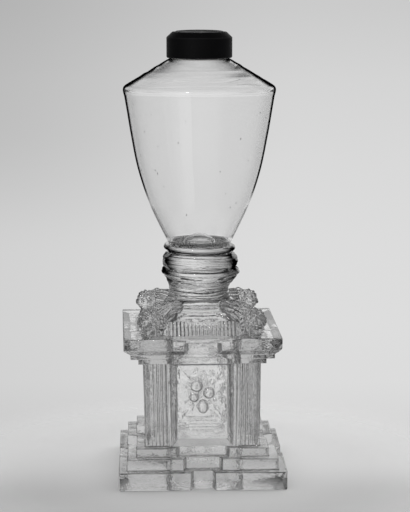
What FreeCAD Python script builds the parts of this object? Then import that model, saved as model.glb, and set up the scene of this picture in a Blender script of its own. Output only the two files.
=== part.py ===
"""Whale oil lamp: blown glass font on glass wafers and a hollow pressed glass base, with a cast collar.

Millimetres, +Z up, origin at the centre of the base's underside. One STEP file is written per piece.
The front of the lamp faces -Y, and every ornament is repeated on the four sides or the four corners.
"""
import FreeCAD, Part
import math
import os

V = FreeCAD.Vector
UP = V(0, 0, 1)
SIDES = 4
QUARTER_TURN = 90
FULL_TURN = 360

# Plinth: three stepped tiers, each notched in the middle of every side back to the tier above
low_tier_half = 44.8
low_tier_height = 9.7
low_notch_width = 9.9
mid_tier_half = 40.3
mid_tier_height = 6.1
mid_notch_width = 17.5
high_tier_half = 35.3
high_tier_height = 4.7
high_notch_width = 24.8
notch_splay = 1.8  # width in plan of a notch's slanted side wall

# Shaft: four reeded corner piers with a sunk panel between each pair
shaft_half_foot = 30.8
shaft_half_head = 31.4
shaft_height = 45.8
pier_corner_flat = 3.6
pier_corner_round = 1.1
reed_pitch = 1.95
reed_height = 0.55
reed_count = 5
panel_width = 27.4
panel_depth = 4.0
panel_jamb_splay = 2.6
sill_rise = 2.4
lintel_drop = 0.6

# Relief on each panel: a basket of fruit between leaves
fruit_radius = 3.1
fruit_rise = 1.1
fruit_spread = 6.4
fruit_row_drop = 4.9
bunch_height = 33.2  # of the upper fruit above the foot of the shaft
leaf_radius = 2.3
leaf_rise = 0.6
leaf_ring_radius = 9.4
leaf_count = 9
basket_top_width = 17.0
basket_foot_width = 11.5
basket_height = 8.0
basket_rise = 0.9
basket_foot_height = 6.6  # above the foot of the shaft

# Cornice: two lower fillets and a thick slab whose lower edge is chamfered
fillet_low_half = 34.0
fillet_low_height = 3.4
fillet_low_notch_width = 26.8
fillet_high_half = 38.2
fillet_high_height = 2.7
fillet_high_notch_width = 21.5
slab_half = 41.9
slab_height = 9.0
slab_top_plate = 2.3
slab_notch_width = 15.5
slab_notch_splay = 2.0
slab_chamfer_width = 3.5
slab_chamfer_height = 2.7

# Cap: a ribbed cushion in two tiers on each side under a flaring neck
cushion_length = 38.0
cushion_low_half = 34.0
cushion_low_height = 3.3
cushion_step = 1.2
cushion_batter = 1.5
cushion_high_height = 3.4
rib_pitch = 2.0
rib_depth = 0.7
roof_half = 29.0
flare_rise = 15.6  # from the slab's top to the neck's top
flare_foot_radius = 41.5
flare_foot_rise = 1.8
neck_radius = 16.9

# Corner heads: a mane that climbs to the neck, with a round face at its outer end
head_reach = 28.4  # of the face's centre from the axis, along X and along Y
head_rise = 7.4  # of the face's centre above the slab
face_radius = 5.6
mane_inner_reach = 12.0
mane_inner_rise = 11.0
mane_inner_half_width = 4.6
mane_inner_half_height = 3.6
mane_outer_half_width = 8.4
mane_outer_half_height = 6.2
mane_setback = 3.6  # from the face's centre back to the mane's outer end
mane_ring_radius = 5.3
mane_ring_thickness = 1.6
lobe_radius = 2.6
lobe_ring_radius = 4.0
lobe_setback = 7.4
lobe_spread_angle = 58.0
head_foot_width = 10.5

# Cavity: pressed by a square plunger that stood a little off centre
cavity_half_foot = 20.5
cavity_half_head = 19.4
cavity_corner_radius = 3.0
cavity_offset = 1.5
crown_half_foot = 18.9
crown_half_head = 9.0
crown_height = 7.2
crown_roof = 3.8  # glass left between the crown and the neck's top

# Stem
waist_radius = 16.3
waist_drop = 4.0  # from the knop's cone foot down to the waist
knop_neck_height = 5.0  # from the base's neck to the waist
knop_cone_radius = 18.3
knop_rim_radius = 21.3
knop_rim_rise = 4.5  # of the rim above the cone's foot
knop_top_radius = 19.5
knop_top_rise = 2.8
middle_radius = 20.5
middle_height = 8.3
middle_belly_share = 0.5
upper_foot_radius = 17.0
upper_foot_height = 1.0
upper_radius = 19.5
upper_thickness = 2.8

# Font
font_foot_radius = 16.5
font_shoulder_radius = 40.4
font_body_height = 80.6
font_swell_shares = ((0.25, 0.41), (0.5, 0.694), (0.75, 0.865))
font_wall = 1.6
font_bottom = 3.0
font_kick_radius = 6.7
font_kick_rise = 1.6
bead_radius = 41.05
bead_height = 5.2
cone_rise = 13.7
cone_top_radius = 17.8
crest_rise = 1.2
neck_root_rise = 1.9
neck_outer_radius = 13.4
neck_wall = 1.9
neck_height = 6.9  # from the root to the rim

# Collar and its plaster
collar_radius = 17.6
collar_wall = 1.9
collar_foot_round = 0.6
collar_bore_radius = 11.1
collar_bore_length = 5.6
collar_chamfer_width = 3.1
collar_chamfer_height = 2.85
collar_lip_radius = 12.8
collar_lip_height = 0.65
collar_seat_gap = 0.1

# Heights from the bottom up
plinth_top = low_tier_height + mid_tier_height + high_tier_height
shaft_top = plinth_top + shaft_height
fillet_low_top = shaft_top + fillet_low_height
slab_foot = fillet_low_top + fillet_high_height
slab_top = slab_foot + slab_height
neck_top = slab_top + flare_rise
crown_top = neck_top - crown_roof
cavity_top = crown_top - crown_height
waist_z = neck_top + knop_neck_height
cone_z = waist_z + waist_drop
rim_z = cone_z + knop_rim_rise
knop_top_z = rim_z + knop_top_rise
middle_top_z = knop_top_z + middle_height
upper_disc_z = middle_top_z + upper_foot_height
font_foot_z = upper_disc_z + upper_thickness
shoulder_z = font_foot_z + font_body_height
cone_foot_z = shoulder_z + bead_height
cone_top_z = cone_foot_z + cone_rise
crest_z = cone_top_z + crest_rise
neck_root_z = crest_z + neck_root_rise
neck_rim_z = neck_root_z + neck_height
collar_foot_z = crest_z + collar_seat_gap
collar_inner_radius = collar_radius - collar_wall
collar_bore_z = neck_rim_z + collar_seat_gap
collar_top_z = collar_bore_z + collar_bore_length


def line(a, b):
    """Straight edge between two (radius, height) points."""
    return Part.LineSegment(V(a[0], 0, a[1]), V(b[0], 0, b[1])).toShape()


def arc(a, middle, b):
    """Arc through three (radius, height) points."""
    return Part.Arc(V(a[0], 0, a[1]), V(middle[0], 0, middle[1]), V(b[0], 0, b[1])).toShape()


def curve(points):
    """Smooth edge through (radius, height) points."""
    spline = Part.BSplineCurve()
    spline.interpolate([V(r, 0, z) for r, z in points])
    return spline.toShape()


def revolve(edges):
    """Solid of revolution about Z from a closed chain of edges."""
    return Part.Face(Part.Wire(edges)).revolve(V(), UP, FULL_TURN)


def turned(shape, quarter):
    """Copy of a shape turned about Z by a number of quarter turns."""
    copy = shape.copy()
    copy.rotate(V(), UP, quarter * QUARTER_TURN)
    return copy


def on_sides(shape):
    """The same shape on all four sides."""
    return [turned(shape, quarter) for quarter in range(SIDES)]


def polygon(points, z):
    """Closed wire through plan points at one height."""
    corners = [V(x, y, z) for x, y in points]
    return Part.makePolygon(corners + corners[:1])


def prism(low_points, high_points, z_low, z_high):
    """Solid between two plan outlines with the same number of corners."""
    return Part.makeLoft([polygon(low_points, z_low), polygon(high_points, z_high)], True, True)


def square(half):
    """Corners of a square in plan."""
    return [(-half, -half), (half, -half), (half, half), (-half, half)]


def notched_square(half, notch_width, splay, depth):
    """Plan of a square tier with a notch in the middle of each side."""
    inner = notch_width / 2
    outer = inner + splay
    side = [(-half, -half), (-outer, -half), (-inner, depth - half), (inner, depth - half), (outer, -half)]
    points = []
    for _ in range(SIDES):
        points += side
        side = [(-y, x) for x, y in side]
    return points


def tier(half, notch_width, splay, depth, z_low, z_high):
    """One notched tier of the plinth or the cornice."""
    outline = notched_square(half, notch_width, splay, depth)
    return prism(outline, outline, z_low, z_high)


def plinth():
    """Three stepped tiers whose notches form an inverted stair in the middle of each side."""
    z = 0
    tiers = (
        (low_tier_half, low_notch_width, low_tier_height, mid_tier_half),
        (mid_tier_half, mid_notch_width, mid_tier_height, high_tier_half),
        (high_tier_half, high_notch_width, high_tier_height, shaft_half_foot),
    )
    solids = []
    for half, notch_width, height, next_half in tiers:
        solids.append(tier(half, notch_width, notch_splay, half - next_half, z, z + height))
        z += height
    return solids


def side_run(points_and_arcs, quarter):
    """Edges of one side's plan outline, turned to its quarter. An entry is (start, middle or None, end)."""
    edges = []
    for start, middle, end in points_and_arcs:
        ends = [V(*start), V(*end)]
        if middle is None:
            edge = Part.LineSegment(*ends).toShape()
        else:
            edge = Part.Arc(ends[0], V(*middle), ends[1]).toShape()
        edges.append(turned(edge, quarter))
    return edges


def scallops(x_start, pitch, count, y, depth, z):
    """Row of rounded ribs along X whose crests lie at y and whose hollows lie depth behind."""
    runs = []
    for i in range(count):
        left = x_start + i * pitch
        start = (left, y + depth, z)
        middle = (left + pitch / 2, y, z)
        end = (left + pitch, y + depth, z)
        runs.append((start, middle, end))
    return runs


def shaft_outline(half, z):
    """Plan of the shaft: at each corner a plain angle and reeds on both faces, and a sunk panel between."""
    jamb_inner = panel_width / 2
    jamb_outer = jamb_inner + panel_jamb_splay
    round_off = pier_corner_round * (1 - math.cos(math.radians(QUARTER_TURN / 2)))
    corner_end = (pier_corner_round - half, -half, z)
    reeds_start = pier_corner_flat - half
    reeds_end = reeds_start + reed_count * reed_pitch
    sunk = panel_depth - half
    corner = ((-half, pier_corner_round - half, z), (round_off - half, round_off - half, z), corner_end)
    run = [corner, (corner_end, None, (reeds_start, reed_height - half, z))]
    run += scallops(reeds_start, reed_pitch, reed_count, -half, reed_height, z)
    run += [
        ((reeds_end, reed_height - half, z), None, (-jamb_outer, -half, z)),
        ((-jamb_outer, -half, z), None, (-jamb_inner, sunk, z)),
        ((-jamb_inner, sunk, z), None, (jamb_inner, sunk, z)),
        ((jamb_inner, sunk, z), None, (jamb_outer, -half, z)),
        ((jamb_outer, -half, z), None, (-reeds_end, reed_height - half, z)),
    ]
    run += scallops(-reeds_end, reed_pitch, reed_count, -half, reed_height, z)
    run.append(((-reeds_start, reed_height - half, z), None, (half - pier_corner_round, -half, z)))
    edges = []
    for quarter in range(SIDES):
        edges += side_run(run, quarter)
    return Part.Wire(edges)


def sill_and_lintel():
    """Sloping sill and flat lintel that close one panel below and above."""
    reach = panel_width / 2 + panel_jamb_splay
    back = panel_depth - shaft_half_foot
    profile = [
        V(-reach, -shaft_half_foot, plinth_top),
        V(-reach, back, plinth_top),
        V(-reach, back, plinth_top + sill_rise),
    ]
    sill = Part.Face(Part.makePolygon(profile + profile[:1])).extrude(V(2 * reach, 0, 0))
    corner = V(-reach, -shaft_half_head, shaft_top - lintel_drop)
    lintel = Part.makeBox(2 * reach, 2 * panel_depth, lintel_drop, corner)
    return [sill, lintel]


def dome(radius, rise, x, y, z):
    """Low round dome that stands on the front panel, facing -Y."""
    sphere_radius = (radius * radius + rise * rise) / (2 * rise)
    latitude = math.degrees(math.asin((sphere_radius - rise) / sphere_radius))
    centre = V(x, y - rise + sphere_radius, z)
    return Part.makeSphere(sphere_radius, centre, V(0, -1, 0), latitude, QUARTER_TURN, FULL_TURN)


def panel_relief():
    """Basket of fruit between leaves on the front panel."""
    def face_y(z):
        rise = (z - plinth_top) / shaft_height
        return panel_depth - shaft_half_foot - rise * (shaft_half_head - shaft_half_foot)

    top_z = plinth_top + bunch_height
    fruit_places = (
        (-fruit_spread / 2, top_z),
        (fruit_spread / 2, top_z - fruit_row_drop),
        (-fruit_spread / 2, top_z - fruit_row_drop - fruit_radius),
        (0, top_z - 2 * fruit_row_drop - fruit_radius),
    )
    domes = [dome(fruit_radius, fruit_rise, x, face_y(z - fruit_radius), z) for x, z in fruit_places]
    middle_z = top_z - fruit_row_drop
    for i in range(leaf_count):
        angle = math.radians(FULL_TURN * i / leaf_count - QUARTER_TURN / 2)
        z = middle_z + leaf_ring_radius * math.sin(angle)
        x = leaf_ring_radius * math.cos(angle)
        domes.append(dome(leaf_radius, leaf_rise, x, face_y(z - leaf_radius), z))
    foot_z = plinth_top + basket_foot_height
    basket_top_z = foot_z + basket_height
    back = face_y(foot_z) + basket_rise
    outline = [
        V(-basket_foot_width / 2, back, foot_z),
        V(basket_foot_width / 2, back, foot_z),
        V(basket_top_width / 2, back, basket_top_z),
        V(-basket_top_width / 2, back, basket_top_z),
    ]
    basket = Part.Face(Part.makePolygon(outline + outline[:1])).extrude(V(0, -2 * basket_rise, 0))
    return domes + [basket]


def shaft():
    """Reeded shaft with its sills, lintels and panel reliefs."""
    outlines = [shaft_outline(shaft_half_foot, plinth_top), shaft_outline(shaft_half_head, shaft_top)]
    solids = [Part.makeLoft(outlines, True, True)]
    for shape in sill_and_lintel() + panel_relief():
        solids += on_sides(shape)
    return solids


def cornice():
    """Two fillets and the slab, notched like the plinth but under a whole top plate."""
    low_depth = fillet_low_half - shaft_half_head
    high_depth = fillet_high_half - fillet_low_half
    slab_depth = slab_half - fillet_high_half
    plate_foot = slab_top - slab_top_plate
    low = tier(fillet_low_half, fillet_low_notch_width, notch_splay, low_depth, shaft_top, fillet_low_top)
    high = tier(fillet_high_half, fillet_high_notch_width, notch_splay, high_depth, fillet_low_top, slab_foot)
    blocks = tier(slab_half, slab_notch_width, slab_notch_splay, slab_depth, slab_foot, plate_foot)
    chamfer_top = slab_foot + slab_chamfer_height
    taper = prism(square(slab_half - slab_chamfer_width), square(slab_half), slab_foot, chamfer_top)
    upright = prism(square(slab_half), square(slab_half), chamfer_top, plate_foot)
    blocks = blocks.common(taper.fuse(upright))
    plate = prism(square(slab_half), square(slab_half), plate_foot, slab_top)
    return [low, high, blocks, plate]


def cushion_outline(half, z):
    """Plan of a cushion tier: a scalloped run on each side, joined across the corners."""
    count = max(1, round(cushion_length / rib_pitch))
    pitch = cushion_length / count
    start = -cushion_length / 2
    run = scallops(start, pitch, count, -half, rib_depth, z)
    end = (-start, rib_depth - half, z)
    next_start = (half - rib_depth, start, z)
    run.append((end, None, next_start))
    edges = []
    for quarter in range(SIDES):
        edges += side_run(run, quarter)
    return Part.Wire(edges)


def cushions():
    """Two ribbed tiers, the upper one set back, each leaning in a little."""
    middle_z = slab_top + cushion_low_height
    low_head = cushion_low_half - cushion_batter
    high_foot = low_head - cushion_step
    low = [cushion_outline(cushion_low_half, slab_top), cushion_outline(low_head, middle_z)]
    high_top = middle_z + cushion_high_height
    high = [cushion_outline(high_foot, middle_z), cushion_outline(high_foot - cushion_batter, high_top)]
    return [Part.makeLoft(low, True, True), Part.makeLoft(high, True, True)]


def roof():
    """Neck that flares out to the square roof inside the cushions."""
    foot_z = slab_top + flare_foot_rise
    knee_radius = (neck_radius + roof_half) / 2
    knee_z = slab_top + cushion_low_height + cushion_high_height + (roof_half - knee_radius) / 2
    edges = [
        line((0, slab_top), (flare_foot_radius, slab_top)),
        line((flare_foot_radius, slab_top), (flare_foot_radius, foot_z)),
        curve([(flare_foot_radius, foot_z), (knee_radius, knee_z), (neck_radius, neck_top)]),
        line((neck_radius, neck_top), (0, neck_top)),
        line((0, neck_top), (0, slab_top)),
    ]
    return revolve(edges).common(prism(square(roof_half), square(roof_half), slab_top, neck_top))


def oval(centre, sideways, along, half_width, half_height):
    """Closed elliptical wire square to a direction, wide along sideways."""
    upward = along.cross(sideways).normalize()
    if half_width > half_height:
        edge = Part.Ellipse(centre + sideways * half_width, centre + upward * half_height, centre)
    else:
        edge = Part.Ellipse(centre + upward * half_height, centre + sideways * half_width, centre)
    return Part.Wire([edge.toShape()])


def corner_head():
    """Mane, face, ring and lobes on the corner at +X +Y."""
    outward = V(1, 1, 0).normalize()
    sideways = V(-1, 1, 0).normalize()
    centre = V(head_reach, head_reach, slab_top + head_rise)
    inner = V(mane_inner_reach, mane_inner_reach, slab_top + mane_inner_rise)
    outer = centre - outward * mane_setback
    ends = [
        oval(inner, sideways, outer - inner, mane_inner_half_width, mane_inner_half_height),
        oval(outer, sideways, outer - inner, mane_outer_half_width, mane_outer_half_height),
    ]
    mane = Part.makeLoft(ends, True, True)
    face = Part.makeSphere(face_radius, centre)
    ring = Part.makeTorus(mane_ring_radius, mane_ring_thickness, outer, outward)
    edge = sideways * (head_foot_width / 2)
    low = [V(inner.x, inner.y, slab_top) - edge, V(centre.x, centre.y, slab_top) - edge]
    high = [centre - edge, inner - edge]
    foot = Part.Face(Part.makePolygon(low + high + low[:1])).extrude(sideways * head_foot_width)
    solids = [mane, face, foot, ring]
    lobe_centre = centre - outward * lobe_setback
    for angle in (-lobe_spread_angle, 0, lobe_spread_angle):
        tilt = math.radians(angle)
        lift = UP * (lobe_ring_radius * math.cos(tilt))
        place = lobe_centre + lift + sideways * (lobe_ring_radius * math.sin(tilt))
        solids.append(Part.makeSphere(lobe_radius, place))
    return solids[0].multiFuse(solids[1:])


def rounded_square(half, z):
    """Plan of the plunger that formed the cavity, with rounded corners."""
    flat = half - cavity_corner_radius
    bulge = flat + cavity_corner_radius * math.cos(math.radians(QUARTER_TURN / 2))
    run = [
        ((-flat, -half, z), None, (flat, -half, z)),
        ((flat, -half, z), (bulge, -bulge, z), (half, -flat, z)),
    ]
    edges = []
    for quarter in range(SIDES):
        edges += side_run(run, quarter)
    wire = Part.Wire(edges)
    wire.translate(V(cavity_offset, 0, 0))
    return wire


def cavity():
    """Tapered square hollow with a crown that narrows like a roof."""
    main = [rounded_square(cavity_half_foot, 0), rounded_square(cavity_half_head, cavity_top)]
    crown = [rounded_square(crown_half_foot, cavity_top), rounded_square(crown_half_head, crown_top)]
    return Part.makeLoft(main, True, True).fuse(Part.makeLoft(crown, True, True))


def pressed_base():
    """The whole pressed glass base."""
    solids = plinth() + shaft() + cornice() + cushions() + [roof()] + on_sides(corner_head())
    body = solids[0].multiFuse(solids[1:]).cut(cavity())
    return body.removeSplitter()


def stem_knop():
    """Ring that narrows in a cone to the waist above the base's neck."""
    return revolve([
        line((0, neck_top), (neck_radius, neck_top)),
        curve([(neck_radius, neck_top), (waist_radius, waist_z), (knop_cone_radius, cone_z)]),
        line((knop_cone_radius, cone_z), (knop_rim_radius, rim_z)),
        line((knop_rim_radius, rim_z), (knop_top_radius, knop_top_z)),
        line((knop_top_radius, knop_top_z), (0, knop_top_z)),
        line((0, knop_top_z), (0, neck_top)),
    ])


def wafer_middle():
    """Thick ring with a full round belly."""
    belly = (middle_radius, knop_top_z + middle_height * middle_belly_share)
    return revolve([
        line((0, knop_top_z), (knop_top_radius, knop_top_z)),
        arc((knop_top_radius, knop_top_z), belly, (upper_foot_radius, middle_top_z)),
        line((upper_foot_radius, middle_top_z), (0, middle_top_z)),
        line((0, middle_top_z), (0, knop_top_z)),
    ])


def wafer_upper():
    """Thin disc with a round edge on a short foot."""
    edge = upper_thickness / 2
    flat = upper_radius - edge
    return revolve([
        line((0, middle_top_z), (upper_foot_radius, middle_top_z)),
        line((upper_foot_radius, middle_top_z), (upper_foot_radius, upper_disc_z)),
        line((upper_foot_radius, upper_disc_z), (flat, upper_disc_z)),
        arc((flat, upper_disc_z), (upper_radius, upper_disc_z + edge), (flat, font_foot_z)),
        line((flat, font_foot_z), (0, font_foot_z)),
        line((0, font_foot_z), (0, middle_top_z)),
    ])


def font_swell(inset, z_foot):
    """Points of the font's side from its foot to the shoulder, moved in by inset."""
    swell = font_shoulder_radius - font_foot_radius
    points = [(font_foot_radius - inset, z_foot)]
    for height_share, swell_share in font_swell_shares:
        radius = font_foot_radius + swell * swell_share
        points.append((radius - inset, font_foot_z + font_body_height * height_share))
    points.append((font_shoulder_radius - inset, shoulder_z))
    return points


def font():
    """Blown reservoir: swelling body, rounded shoulder bead, cone and open neck, thick at the bottom."""
    inner_foot_z = font_foot_z + font_bottom
    kick_z = inner_foot_z + font_kick_rise
    rim_inner = neck_outer_radius - neck_wall
    shoulder_inner = font_shoulder_radius - font_wall
    bead_inner = bead_radius - font_wall
    bead_z = shoulder_z + bead_height / 2
    crest = (collar_inner_radius, crest_z)
    outside = [
        line((0, font_foot_z), (font_foot_radius, font_foot_z)),
        curve(font_swell(0, font_foot_z)),
        arc((font_shoulder_radius, shoulder_z), (bead_radius, bead_z), (font_shoulder_radius, cone_foot_z)),
        line((font_shoulder_radius, cone_foot_z), (cone_top_radius, cone_top_z)),
        line((cone_top_radius, cone_top_z), crest),
        line(crest, (neck_outer_radius, neck_root_z)),
        line((neck_outer_radius, neck_root_z), (neck_outer_radius, neck_rim_z)),
        line((neck_outer_radius, neck_rim_z), (rim_inner, neck_rim_z)),
    ]
    floor_edge = (font_foot_radius - font_wall, inner_foot_z + font_kick_rise)
    cone_foot = (shoulder_inner, cone_foot_z - font_wall)
    cone_top = (cone_top_radius, cone_top_z - font_wall)
    inside = [
        line((rim_inner, neck_rim_z), (rim_inner, crest_z - font_wall)),
        line((rim_inner, crest_z - font_wall), cone_top),
        line(cone_top, cone_foot),
        arc(cone_foot, (bead_inner, bead_z - font_wall), (shoulder_inner, shoulder_z)),
        curve(list(reversed(font_swell(font_wall, floor_edge[1])))),
        line(floor_edge, (font_kick_radius, inner_foot_z)),
        line((font_kick_radius, inner_foot_z), (0, kick_z)),
        line((0, kick_z), (0, font_foot_z)),
    ]
    return revolve(outside + inside)


def collar():
    """Cast collar: a skirt over the neck, a chamfered top and a lip round the burner's bore."""
    shelf_z = collar_top_z - collar_lip_height
    chamfer_foot = shelf_z - collar_chamfer_height
    foot_edge = (collar_radius - collar_foot_round, collar_foot_z)
    side_foot = (collar_radius, collar_foot_z + collar_foot_round)
    return revolve([
        line((collar_inner_radius, collar_foot_z), foot_edge),
        line(foot_edge, side_foot),
        line(side_foot, (collar_radius, chamfer_foot)),
        line((collar_radius, chamfer_foot), (collar_radius - collar_chamfer_width, shelf_z)),
        line((collar_radius - collar_chamfer_width, shelf_z), (collar_lip_radius, shelf_z)),
        line((collar_lip_radius, shelf_z), (collar_lip_radius, collar_top_z)),
        line((collar_lip_radius, collar_top_z), (collar_bore_radius, collar_top_z)),
        line((collar_bore_radius, collar_top_z), (collar_bore_radius, collar_bore_z)),
        line((collar_bore_radius, collar_bore_z), (collar_inner_radius, collar_bore_z)),
        line((collar_inner_radius, collar_bore_z), (collar_inner_radius, collar_foot_z)),
    ])


def collar_cement():
    """Plaster that fills the space between the collar's skirt and the neck."""
    return revolve([
        line((collar_inner_radius, crest_z), (collar_inner_radius, collar_bore_z)),
        line((collar_inner_radius, collar_bore_z), (neck_outer_radius, collar_bore_z)),
        line((neck_outer_radius, collar_bore_z), (neck_outer_radius, neck_root_z)),
        line((neck_outer_radius, neck_root_z), (collar_inner_radius, crest_z)),
    ])


def main():
    """Build each piece and write it to parts/NODE.step."""
    os.makedirs("parts", exist_ok=True)
    pieces = (pressed_base, stem_knop, wafer_middle, wafer_upper, font, collar_cement, collar)
    for build in pieces:
        shape = build()
        box = shape.BoundBox
        print(build.__name__, shape.isValid(), len(shape.Solids), round(shape.Volume, 1), end=" ")
        print([round(x, 2) for x in (box.XMin, box.XMax, box.YMin, box.YMax, box.ZMin, box.ZMax)])
        shape.exportStep("parts/" + build.__name__ + ".step")


main()
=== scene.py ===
"""Looks of a whale oil lamp: clear blown font, glass wafers, hollow pressed glass base and dark pewter collar.

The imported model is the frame. Every length below is in millimetres unless its name says otherwise, and each
mesh is turned to metres when it is made. The front of the lamp faces -Y.
"""

import logging
import math
from dataclasses import dataclass, field
from enum import Enum, IntEnum

import bpy
import numpy as np
from mathutils import Matrix, Vector


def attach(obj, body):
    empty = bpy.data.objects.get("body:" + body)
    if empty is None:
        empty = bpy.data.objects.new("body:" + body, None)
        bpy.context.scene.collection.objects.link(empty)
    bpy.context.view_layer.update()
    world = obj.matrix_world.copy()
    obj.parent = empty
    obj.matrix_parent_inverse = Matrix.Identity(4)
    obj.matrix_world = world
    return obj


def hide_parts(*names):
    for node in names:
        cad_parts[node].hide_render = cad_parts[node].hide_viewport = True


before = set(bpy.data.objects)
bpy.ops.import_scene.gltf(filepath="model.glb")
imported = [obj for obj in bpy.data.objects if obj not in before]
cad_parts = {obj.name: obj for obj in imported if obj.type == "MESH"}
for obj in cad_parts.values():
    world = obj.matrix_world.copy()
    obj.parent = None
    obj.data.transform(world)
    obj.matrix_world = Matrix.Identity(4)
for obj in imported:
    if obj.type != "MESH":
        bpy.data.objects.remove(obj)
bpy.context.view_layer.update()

MM = 0.001
SIDES = 4
LEAN_MM = -0.6  # the cap of the base leans this far along X, and the stem, the font and the collar with it
OVERLAP_MM = 1.0  # solids that are pressed together reach this far into each other
LOG = logging.getLogger("lamp")

Points = np.ndarray  # one point a row
Pair = tuple[float, float]
Triple = tuple[float, float, float]
Quad = tuple[float, float, float, float]
Profile = list[Pair]  # (radius, height) points
Bands = tuple[tuple[float, str], ...]  # heights with hex colours

ROOF_LINE: tuple[Pair, ...] = ((41.5, 83.2), (22.95, 91.125), (16.9, 97.0))  # from the base's corners to the neck


class Skin(IntEnum):
    """Material slot of a face in a piece of glass."""

    OUTER = 0
    WELD = 1
    INNER = 2
    INNER_CONE = 3


class LampRole(Enum):
    """What a studio lamp is there for."""

    LIGHT = "lights the dull surfaces"
    MIRROR = "shows in the glass as a reflection"


def to_linear(hex_colour: str) -> Quad:
    """Turn an sRGB hex colour to a linear one.

    Args:
        hex_colour: Six hex digits, such as "c8ccca".

    Returns:
        Linear red, green and blue, and an alpha of 1.
    """
    values = [int(hex_colour[i:i + 2], 16) / 255 for i in (0, 2, 4)]
    linear = [v / 12.92 if v <= 0.04045 else ((v + 0.055) / 1.055) ** 2.4 for v in values]
    return (*linear, 1.0)


def add_node(tree: bpy.types.NodeTree, kind: str, links: dict | None = None, out: int | str = 0,
             **settings) -> bpy.types.NodeSocket | None:
    """Add a shader node with its settings and links.

    Args:
        tree: Node tree that takes the node.
        kind: Blender's name of the node type, without the leading "ShaderNode".
        links: Input name or number to the socket that feeds it, or to a plain value.
        out: Name or number of the output that is wanted.
        **settings: Attributes of the node.

    Returns:
        That output, or None where the node has none.
    """
    node = tree.nodes.new("ShaderNode" + kind)
    for name, value in settings.items():
        setattr(node, name, value)
    for name, source in (links or {}).items():
        if isinstance(source, bpy.types.NodeSocket):
            tree.links.new(source, node.inputs[name])
        else:
            node.inputs[name].default_value = source
    return node.outputs[out] if node.outputs else None


def new_material(name: str) -> bpy.types.Material:
    """Make an empty node material.

    Args:
        name: Name of the finish.

    Returns:
        The material, with no nodes in its tree.
    """
    material = bpy.data.materials.new(name)
    material.use_nodes = True
    material.node_tree.nodes.clear()
    return material


def end_glass(tree: bpy.types.NodeTree, surface: bpy.types.NodeSocket, haze_per_m: float) -> None:
    """End a material with its surface, and with an even grey haze in the glass behind it where there is one.

    Args:
        tree: Node tree that takes the nodes.
        surface: Shader of the surface.
        haze_per_m: Density of the haze.
    """
    ends = {"Surface": surface}
    if haze_per_m:
        ends["Volume"] = add_node(tree, "VolumeAbsorption", {"Color": to_linear("000000"), "Density": haze_per_m})
    add_node(tree, "OutputMaterial", ends)


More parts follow.
